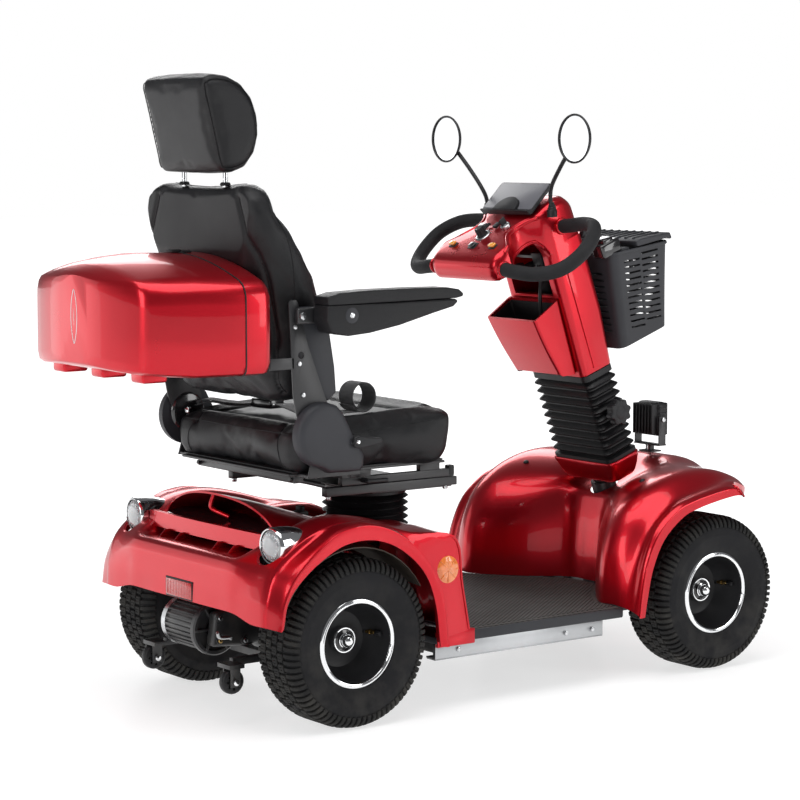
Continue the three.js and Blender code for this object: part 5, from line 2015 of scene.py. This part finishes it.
def seat_metalwork():
    for hand, s in SIDES:
        shield = settle(hip_shield(hand, s), BODY, "seat", SATIN_PLASTIC, 50)
        if s > 0:
            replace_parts(shield, "seat_frame")
        plate_in = side_plate(
            f"{hand}_side_bracket", [(-62, 479), (60, 479), (60, 500), (20, 520), (-50, 520)], s * 233.8,
            s * 238.6, 0.8,
        )
        settle(plate_in, BODY, "seat", SEAT_STEEL)
        inner_ring = turned(
            f"{hand}_hinge_plate", [(0, 3), (34, 3), (38, 1), (40, -2), (0, -2)],
            (HIP_X - 4, s * 233, HIP_Z + 6), (0, -s, 0), 48,
        )
        settle(inner_ring, BODY, "seat", GLOSS_BLACK, 40)
        bolt = turned(
            f"{hand}_hinge_bolt", [(0, 9), (5, 8), (8, 4), (8.4, 0), (0, 0)],
            (HIP_X - 6, s * 230.6, HIP_Z + 8), (0, -s, 0), 32,
        )
        settle(bolt, BODY, "seat", CHROME, 40)
        screw = turned(
            f"{hand}_shield_screw", [(0, 3), (3.2, 2.2), (4, 0), (0, 0)], (26, s * 259.6, 543), (0, s, 0),
            24,
        )
        settle(screw, BODY, "seat", CHROME, 40)
        top_rail = block(f"{hand}_upper_rail", (60, 336), sorted((s * 163, s * 177)), (448, 463.6), 1.5)
        settle(top_rail, BODY, "seat", SEAT_STEEL)
        for k, (x0, x1) in enumerate(((80, 130), (250, 300))):
            riser = block(f"{hand}_rail_riser_{k}", (x0, x1), sorted((s * 163, s * 177)), (463, 480), 2)
            settle(riser, BODY, "seat", SEAT_STEEL)
        teeth = [
            block("tooth", (118 + 13 * i, 125 + 13 * i), sorted((s * 158, s * 163.4)), (444, 458), 0.8, 1)
            for i in range(13)
        ]
        rack = joined(
            f"{hand}_slide_teeth",
            *teeth,
            block("bar", (112, 290), sorted((s * 158.6, s * 163.2)), (455, 461), 0.8),
        )
        settle(rack, BODY, "seat", SEAT_STEEL)
        side_bar = block(f"{hand}_seat_bar", (-60, 60), sorted((s * 200, s * 234)), (479, 485), 1.2)
        settle(side_bar, BODY, "seat", SEAT_STEEL)
        lower = block(f"{hand}_lower_rail", (22, 342), sorted((s * 161, s * 179)), (429.4, 447), 1.6)
        piece = settle(lower, BODY, "slide_base", SEAT_STEEL)
        if s > 0:
            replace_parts(piece, "seat_slide_base")
        for k, x in enumerate((32, 318)):
            foot = drum(f"{hand}_rail_bolt_{k}", (x, s * 170, 422), (x, s * 170, 430), 5.5, 1, 6)
            settle(foot, BODY, "slide_base", BRIGHT_STEEL)
        cap = block(f"{hand}_rail_end_cap", (322, 336.6), sorted((s * 162, s * 178)), (449, 470), 3)
        settle(cap, BODY, "seat", PLASTIC)
    under = block("seat_cross_plate", (-78, 298), (-196, 196), (479.4, 484.4), 1.5)
    settle(under, BODY, "seat", SEAT_STEEL)
    for k, x in enumerate((-52, 60)):
        beam = block(f"seat_cross_beam_{k}", (x, x + 22), (-176, 176), (462, 479), 1.5)
        settle(beam, BODY, "seat", SEAT_STEEL)
    base = block("slide_base_plate", (142, 340), (-164, 164), (425, 430), 1.2)
    settle(base, BODY, "slide_base", SEAT_STEEL)
    rod_piece = pipe("slide_link_rod", [(30, -150, 452), (30, 150, 452)], 3.5, 8, 8)
    settle(rod_piece, BODY, "seat", SEAT_STEEL, 60)
    for hand, s in SIDES:
        brace = pipe(
            f"{hand}_seat_brace",
            [(-58, s * 168, 470), (-20, s * 168, 462), (24, s * 168, 450)],
            4,
            12,
            8,
        )
        settle(brace, BODY, "seat", SEAT_STEEL, 60)
    lever = joined(
        "slide_lever_arm",
        drum("pivot", (104, -182, 458), (104, -206, 458), 5),
        block("grip", (98, 150), (-210, -199.5), (453.5, 461.5), 3.4, 3),
    )
    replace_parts(settle(lever, BODY, "slide_release", PLASTIC), "seat_slide_lever")
    handle = side_plate(
        "recline_handle",
        [
            (24, 536), (38, 533.5), (60, 536), (88, 540), (91, 546), (88, 551), (60, 553), (38, 557),
            (24, 554),
        ],
        -262.8,
        -272,
        3,
        3,
    )
    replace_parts(settle(handle, BODY, "recline_release", PLASTIC), "recline_lever")
    screw = turned("recline_screw", [(0, 2.6), (3, 2.2), (4, 0), (0, 0)], (32, -272, 546), (0, -1, 0), 24)
    settle(screw, BODY, "recline_release", CHROME, 40)


def backrest_metalwork():
    for hand, s in SIDES:
        outline = [
            (-104, 815), (-99, 821), (-86, 821), (-82, 815), (-60, 735), (-28, 652), (-6, 600), (-6, 552),
            (-20, 538), (-58, 538), (-86, 600), (-94, 640),
        ]
        arm = side_plate(f"{hand}_back_side_plate", outline, s * 233.6, s * 237.6, 1.2)
        hole = drum("hole", (-76, s * 225, 716), (-76, s * 245, 716), 7, 0)
        cut(arm, hole)
        piece = settle(arm, BODY, "backrest", SEAT_STEEL)
        if s > 0:
            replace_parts(piece, "backrest_frame")
        wedge = side_plate(
            f"{hand}_back_shield",
            [
                (-78, 735), (-44, 660), (-14, 622), (10, 640), (6, 690), (-6, 760), (-20, 800), (-40, 806),
                (-70, 806),
            ],
            s * 209,
            s * 233,
            6,
            3,
        )
        settle(wedge, BODY, "backrest", SATIN_PLASTIC, 40)
        stay = block(f"{hand}_case_stay", (-146, -92), sorted((s * 233.6, s * 237.6)), (690, 712), 1)
        settle(stay, BODY, "backrest", SEAT_STEEL)
        clamp = block(f"{hand}_case_clamp", (-159.2, -130), sorted((s * 88, s * 122)), (684, 782), 2.5)
        settle(clamp, BODY, "backrest", SEAT_STEEL)
        for k, z in enumerate((640, 700, 770)):
            stud = drum(
                f"{hand}_back_bolt_{k}", (-72 + (z - 640) * -0.14, s * 237, z),
                (-72 + (z - 640) * -0.14, s * 240.4, z), 4.4, 0.8, 16,
            )
            settle(stud, BODY, "backrest", BRIGHT_STEEL)
    bar = drum("case_cross_bar", (-138, 236, 701), (-138, -236, 701), 8, 1)
    settle(bar, BODY, "backrest", SEAT_STEEL, 40)


def belt():
    """Lap belt, fastened, with its buckle, tongue, webbing and the rolled spare end."""
    def strap(name, path, half, body="seat", across=(0, 1, 0)):
        """Flat webbing along a path, half wide to each side."""
        rows = [[], []]
        points = curve_through(path, 40)
        for i, point in enumerate(points):
            ahead = points[min(i + 1, 39)] - points[max(i - 1, 0)]
            side = ahead.cross(Vector((0, 0, 1))) if across is None else Vector(across)
            side = side.normalized() * half
            rows[0].append(point - side)
            rows[1].append(point + side)
        middle_row = [(a + b) / 2 for a, b in zip(*rows)]
        obj = skin(name, [rows[0], middle_row, rows[1]], False, False)
        with_modifier(obj, "SOLIDIFY", thickness=1.8, offset=0)
        return settle(obj, BODY, body, WEBBING, 50)

    left = strap(
        "lap_strap_left",
        [(-22, 216, 590), (-10, 200, 594), (12, 170, 590), (34, 130, 588), (46, 100, 591)],
        19,
        across=None,
    )
    strap(
        "lap_strap_left_fold",
        [(-26, 214, 582), (-6, 188, 589), (20, 150, 584), (40, 112, 586)],
        16,
        across=None,
    )
    buckle = plan_plate("belt_buckle", [(24, 96), (64, 103), (72, 42), (32, 35)], 583, 603, 5, 3)
    settle(buckle, BODY, "seat", GLOSS_BLACK)
    button = plan_plate("belt_release", [(37, 78), (57, 81.5), (59.5, 64), (39.5, 60.5)], 602, 605.4, 1.2)
    settle(button, BODY, "seat", BUTTON_RED)
    tongue = plan_plate(
        "belt_tongue", [(36, 38), (64, 42), (67, 18), (60, 8), (44, 6), (39, 14)], 591, 594.4, 1,
    )
    slot = plan_plate("slot", [(46, 22), (60, 24), (61, 16), (47, 14)], 580, 600, 0)
    cut(tongue, slot)
    settle(tongue, BODY, "seat", CHROME)
    right = strap(
        "lap_strap_right",
        [(54, 20, 594), (44, -30, 592), (26, -90, 590), (8, -150, 590), (-6, -214, 588)],
        19,
        across=None,
    )
    loop = []
    for i in range(30):
        a = math.radians(-60 + 395 * i / 29)
        r = 30.5 - i * 0.14
        loop.append((118 + r * math.sin(a), -146, 620 - r * math.cos(a)))
    strap("lap_belt_roll", loop, 23)
    strap(
        "lap_belt_tail",
        [(4, -184, 596), (40, -176, 594), (84, -156, 592), (116, -146, 590)],
        21,
        across=None,
    )
    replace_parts(left, "lap_belt_left")
    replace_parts(right, "lap_belt_right")


def seat_bellows():
    """Round rubber gaiter under the seat."""
    profile = [(34, 324), (84, 324), (84, 330)]
    pleats = 5
    step = 72 / pleats
    for i in range(pleats):
        z = 332 + i * step
        profile += [
            (77, z), (86, z + step * 0.38), (88.6, z + step * 0.5), (86, z + step * 0.62),
            (77, z + step * 0.96),
        ]
    profile += [(84, 405), (84, 410.5), (34, 410.5)]
    obj = turned("seat_bellows", profile, (SEAT_X, 0, 0), (0, 0, 1), 64, closed=True)
    settle(obj, BODY, None, GAITER_RUBBER, 30)
    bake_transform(obj)
    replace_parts(obj, "seat_gaiter")
    flange = turned(
        "seat_gaiter_flange",
        [(76, 318), (94, 318), (95, 321), (92, 326), (85, 328), (76, 328)],
        (SEAT_X, 0, 0),
        (0, 0, 1),
        64,
        closed=True,
    )
    settle(flange, BODY, "chassis", PLASTIC, 40)


seat_pad()
backrest_pad()
headrest_pad()
armrests()
seat_metalwork()
backrest_metalwork()
belt()
seat_bellows()


# ---------- rear case ----------
def case_ring(x, half, floor, side, crown):
    """One cross-section: flat floor, straight sides, rounded shoulder, crowned top."""
    shape = [
        (0.0, floor), (0.5, floor), (0.88, floor), (0.97, floor + 5), (1.0, floor + 20), (1.0, floor + 70),
        (1.0, side - 40), (0.995, side - 22), (0.965, side - 6), (0.91, side + 4),
    ]
    right = [(k * half, z) for k, z in shape]
    for i in range(1, 9):
        t = i / 9
        k = 0.91 * (1 - t)
        right.append((k * half, side + 4 + (crown - side - 4) * (1 - (1 - t) ** 1.9)))
    return [(x, -y, z) for y, z in right] + [(x, 0, crown)] + [(x, y, z) for y, z in reversed(right[1:])]


CASE = [
    (-206, 250, 682, 856, 905), (-209, 250, 682, 856, 905), (-255, 243, 682, 857, 906.5),
    (-300, 234, 682, 858, 907), (-350, 222, 686, 857, 902), (-388, 212, 690, 856, 895),
    (-400, 203, 692, 855.5, 891), (-406, 190, 693, 855.5, 888), (-414, 160, 695, 856, 883),
    (-422, 124, 698, 857, 878), (-428, 84, 701, 858, 873), (-431, 52, 704, 859, 869),
]


def case_cover():
    rings = [case_ring(*row) for row in CASE]
    wall = 4
    inner = [case_ring(x + (wall if k else 2 * wall), half - wall, floor + wall, side - wall, crown - wall)
             for k, (x, half, floor, side, crown) in enumerate(CASE)]
    shell = cut(skin("case_shell", rings), skin("room", inner))
    outline = []
    for i in range(32):
        a = math.tau * i / 32
        outline.append((11 * math.sin(a) * abs(math.sin(a)) ** 0.5, 50 * math.cos(a)))
    piece = settle(rounded(shell, 1.6, 2, 40), BODY, "case_cover", RED, 34)
    piece.name = "case_lid_shell"
    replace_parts(piece, "rear_case_cover")
    badge = skin("case_badge", [
        [(-426.0, y, 791 + z) for y, z in outline],
        [(-431.0, y, 791 + z) for y, z in outline],
        [(-429.2, y * 0.72, 791 + z * 0.84) for y, z in outline],
        [(-431.2, y * 0.2, 791 + z * 0.3) for y, z in outline],
    ])
    settle(badge, BODY, "case_cover", RED_LENS, 40)
    keyline = [(-430.6, y * 1.04, 791 + z * 1.02) for y, z in outline]
    settle(
        pipe("case_badge_rim", keyline, 1.0, 48, 8, closed=True), BODY, "case_cover", BRIGHT_STEEL, 60,
    )
    for k, y in enumerate((-150, 0, 150)):
        foot = block(f"case_foot_{k}", (-384, -330), (y - 24, y + 24), (673, 700), 6, 3)
        settle(foot, BODY, "case_cover", RED)


def case_base():
    back_rows = [
        (-205.4, 250, 682, 856, 905), (-204, 250, 682, 856, 905), (-168, 252, 682, 857, 906),
        (-159, 251, 683, 856, 905), (-152, 246, 687, 852, 901), (-150, 238, 693, 846, 894),
    ]
    outer = skin("case_back", [case_ring(*row) for row in back_rows])
    inner = skin(
        "room",
        [
            case_ring(-212, 245, 687, 851, 900), case_ring(-166, 245, 687, 851, 900),
            case_ring(-156, 232, 698, 840, 889),
        ],
    )
    piece = settle(cut(outer, inner), BODY, "backrest", RED, 34)
    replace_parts(piece, "rear_case_base")
    piece.name = "case_back_shell"
    tray = block("case_tray", (-372, -168), (-170, 170), (698, 702), 1.5)
    settle(tray, BODY, "backrest", PLASTIC)
    rim = [(x - 0.2, y, z) for x, y, z in case_ring(-207, 250.4, 681.6, 856.4, 905.4)]
    settle(pipe("case_seal", rim, 1.4, 120, 6, closed=True), BODY, "backrest", GAITER_RUBBER, 60)
    latch = joined(
        "case_latch",
        block("keep", (-204, -180), (-16, 16), (900, 909), 2.5),
        block("tongue", (-222, -200), (-12, 12), (904, 911.5), 2.5),
    )
    settle(latch, BODY, "backrest", PLASTIC)
    for hand, s in SIDES:
        hinge = joined(
            f"{hand}_case_hinge",
            drum("pin", (-206, s * 120, 680), (-206, s * 170, 680), 5),
            block("leaf", (-204, -176), sorted((s * 122, s * 168)), (678, 683), 1),
        )
        settle(hinge, BODY, "backrest", SEAT_STEEL)


# ---------- floor, frame and drive ----------
def floor():
    outline = [
        (285, -289), (684, -289), (684, -222), (756, -124), (822, -62), (832, 0), (822, 62), (756, 124),
        (684, 222), (684, 289), (285, 289), (285, 150), (344, 96), (344, -96), (285, -150),
    ]
    mat = plan_plate("mat_sheet", outline, DECK_Z + 0.4, DECK_Z + 3, 0.8, 1)
    ribs = []
    pitch = 8.0
    slope = math.radians(38)
    for i in range(-60, 110):
        centre = Vector((545, 0, 0)) + Vector((-math.sin(slope), math.cos(slope), 0)) * (i - 20) * pitch
        rib = block("rib", (-700, 700), (-1.6, 1.6), (DECK_Z + 2.6, DECK_Z + 4.4), 0)
        rib.data.transform(Matrix.Translation((centre.x, centre.y, 0)) @ Matrix.Rotation(slope, 4, "Z"))
        ribs.append(rib)
    ribs = joined("mat_ribs", *ribs)
    inset = [(545 + (x - 545) * 0.965, y * 0.965) for x, y in outline]
    shape = plan_plate("shape", inset, DECK_Z + 2, DECK_Z + 6, 0)
    with_modifier(ribs, "BOOLEAN", object=shape, operation="INTERSECT", solver="EXACT")
    bpy.data.objects.remove(shape)
    piece = settle(mat, BODY, "chassis", MATTING, 30)
    settle(ribs, BODY, "chassis", MATTING, 30)
    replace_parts(piece, "floor_mat")
    for hand, s in SIDES:
        strip = block(
            f"{hand}_deck_edge", (284, 690), sorted((s * 289.5, s * 293.5)), (137, DECK_Z + 1.5), 1.2,
        )
        settle(strip, BODY, "chassis", SATIN_PLASTIC)
        sill = joined(
            f"{hand}_sill_angle",
            block("face", (206, 640), sorted((s * 284.2, s * 286.6)), (104, 134), 0.6),
            block("foot", (206, 640), sorted((s * 258, s * 286.6)), (101.6, 103.8), 0.6),
        )
        settle(sill, BODY, "chassis", ALUMINIUM)
        for k, x in enumerate((262, 540, 610)):
            bolt = drum(f"{hand}_sill_bolt_{k}", (x, s * 286.4, 119), (x, s * 291, 119), 5.4, 1, 6)
            settle(bolt, BODY, "chassis", BRIGHT_STEEL)
        skirt = block(f"{hand}_body_corner", (206, 300), sorted((s * 284.6, s * 294)), (128, DECK_Z + 5), 2.4)
        settle(skirt, BODY, "chassis", RED)


def rounded_copy(name, width=1.0, material=None, rows=2):
    """A copy of a frame piece with its edges eased."""
    source = NODES[name]
    piece = copied(source, name + "_finished")
    with_modifier(piece, "WELD", merge_threshold=0.00002)
    with_modifier(
        piece, "BEVEL", width=width * MM, segments=rows, limit_method="ANGLE", angle_limit=math.radians(32),
        use_clamp_overlap=True,
    )
    body = source["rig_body"]
    settle(piece, Matrix(), body, material or FRAME_PAINT, 32)
    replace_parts(piece, name)
    return piece


def motor():
    """Finned motor can, bell housing, gearbox and brake lever behind the axle."""
    at_x, at_z = -141, 166
    can = turned(
        "motor_can",
        [(0, 106), (30, 106), (38, 103), (44, 98), (45, 94), (45, -16), (0, -16)],
        (at_x, 0, at_z),
        (0, 1, 0),
        64,
    )
    fins = around(block("fin", (43, 48), (-2.6, 2.6), (-14, 90), 1.2, 2), 28, (0, 0, 0), (0, 0, 1))
    fins.data.transform(Matrix.Translation((at_x, 0, at_z)) @ turn_to((0, 1, 0)).to_matrix().to_4x4())
    piece = settle(joined("drive_motor", can, fins), BODY, "chassis", FRAME_PAINT, 35)
    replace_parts(piece, "drive_unit")
    tag = turned(
        "motor_end_band", [(45.2, 84), (48.4, 84), (48.4, 98), (45.2, 99)], (at_x, 0, at_z), (0, 1, 0), 64,
        closed=True,
    )
    settle(tag, BODY, "chassis", BRIGHT_STEEL, 40)
    bell = turned(
        "bell_housing",
        [(36, -16), (50, -17), (53, -20), (53, -30), (50, -33), (44, -33), (42, -26), (20, -26), (20, -18)],
        (at_x, 0, at_z),
        (0, 1, 0),
        64,
        closed=True,
    )
    spokes = around(block("spoke", (12, 50), (-2.5, 2.5), (-34, -20), 1.2), 6, (0, 0, 0), (0, 0, 1))
    spokes.data.transform(Matrix.Translation((at_x, 0, at_z)) @ turn_to((0, 1, 0)).to_matrix().to_4x4())
    hub = drum("hub", (at_x, -14, at_z), (at_x, -44, at_z), 14, 2)
    settle(joined("motor_bell", bell, spokes, hub), BODY, "chassis", FRAME_PAINT, 40)
    gearbox = joined(
        "gearbox",
        turned(
            "case",
            [
                (0, -66), (40, -66), (46, -64), (60, -50), (62, -46), (62, -10), (58, -6), (40, 6),
                (28, 19), (24, 20), (0, 20),
            ],
            (0, 0, TYRE_R),
            (0, 1, 0),
            48,
        ),
        side_plate(
            "arm",
            [(-166, 136), (-90, 130), (-30, 134), (-30, 205), (-100, 210), (-158, 203)],
            -31,
            -57,
            7,
            3,
        ),
        *[
            drum("boss", (x, -29, z), (x, -60, z), 8, 1.5, 20)
            for x, z in ((-150, 148), (-150, 192), (-92, 142), (-92, 198))
        ],
        drum("tube", (0, 196, TYRE_R), (0, -196, TYRE_R), 22, 2),
        drum("axle", (0, 262, TYRE_R), (0, -262, TYRE_R), 9.9, 1),
        *[block("hanger", (-20, 20), sorted((s * 98, s * 114)), (143.6, 182), 3) for s in (1, -1)],
    )
    settle(gearbox, BODY, "chassis", FRAME_PAINT, 35)
    for k, (x, z) in enumerate(((-150, 148), (-150, 192), (-92, 142), (-92, 198))):
        bolt = drum(f"gearbox_bolt_{k}", (x, -59, z), (x, -64, z), 5, 1, 6)
        settle(bolt, BODY, "chassis", BRASS if k == 0 else BRIGHT_STEEL)
    lead = pipe(
        "motor_lead",
        [(-132, 60, 212), (-128, 40, 232), (-116, 10, 240), (-90, 0, 250), (-50, 0, 260)],
        4,
        24,
        8,
    )
    settle(lead, BODY, "chassis", GAITER_RUBBER, 60)
    brake = pipe(
        "brake_release",
        [(-128, -64, 150), (-140, -78, 156), (-166, -84, 160), (-176, -92, 172)],
        3.6,
        20,
        8,
    )
    settle(brake, BODY, "chassis", BRIGHT_STEEL, 60)


def anti_tip():
    """Small trailing wheels in forked brackets."""
    for hand, s in SIDES:
        at = Vector((-179, s * 146, 86))
        tyre = turned(
            "tyre",
            [(9, -9), (20, -9.4), (23.6, -7), (24.5, -4), (24.5, 4), (23.6, 7), (20, 9.4), (9, 9)],
            at,
            (0, 1, 0),
            48,
            closed=True,
        )
        holes = [
            drum(
                "hole", at + Vector((14 * math.cos(a), -12, 14 * math.sin(a))),
                at + Vector((14 * math.cos(a), 12, 14 * math.sin(a))), 2.6, 0, 16,
            )
            for a in [math.tau * i / 8 for i in range(8)]
        ]
        cut(tyre, joined("holes", *holes))
        piece = settle(tyre, BODY, f"{hand}_tip_wheel", GAITER_RUBBER, 40)
        piece.name = f"{hand}_tip_tyre"
        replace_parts(piece, f"{hand}_anti_tip_wheel")
        hub = turned(
            f"{hand}_tip_hub",
            [(4.6, -9), (8.6, -8.6), (9.2, -6), (9.2, 6), (8.6, 8.6), (4.6, 9)],
            at,
            (0, 1, 0),
            32,
            closed=True,
        )
        settle(hub, BODY, f"{hand}_tip_wheel", PLASTIC, 40)
        bolt = drum(f"{hand}_tip_bolt", at + Vector((0, -18, 0)), at + Vector((0, 18, 0)), 4.2, 0.8, 24)
        cap = drum("cap", at + Vector((0, -20.5, 0)), at + Vector((0, -17, 0)), 6.2, 1.4, 24)
        cap2 = drum("cap", at + Vector((0, 17, 0)), at + Vector((0, 20.5, 0)), 6.2, 1.4, 24)
        settle(joined(f"{hand}_tip_axle", bolt, cap, cap2), BODY, "chassis", CHROME, 40)


case_cover()
case_base()
floor()
motor()
anti_tip()
for node, width in (
    ("chassis_frame", 1.2), ("anti_tip_frame", 1.4), ("left_knuckle", 1.0), ("right_knuckle", 1.0),
    ("tie_rod", 0.8),
):
    rounded_copy(node, width)
rounded_copy("headlamp_bracket", 0.8, FRAME_PAINT)
rounded_copy("floor_pan", 1.5, SATIN_PLASTIC)
rounded_copy("battery_pack", 3, PLASTIC, 3)
rounded_copy("seat_post", 0.8)
rounded_copy("tilt_mast", 0.8)
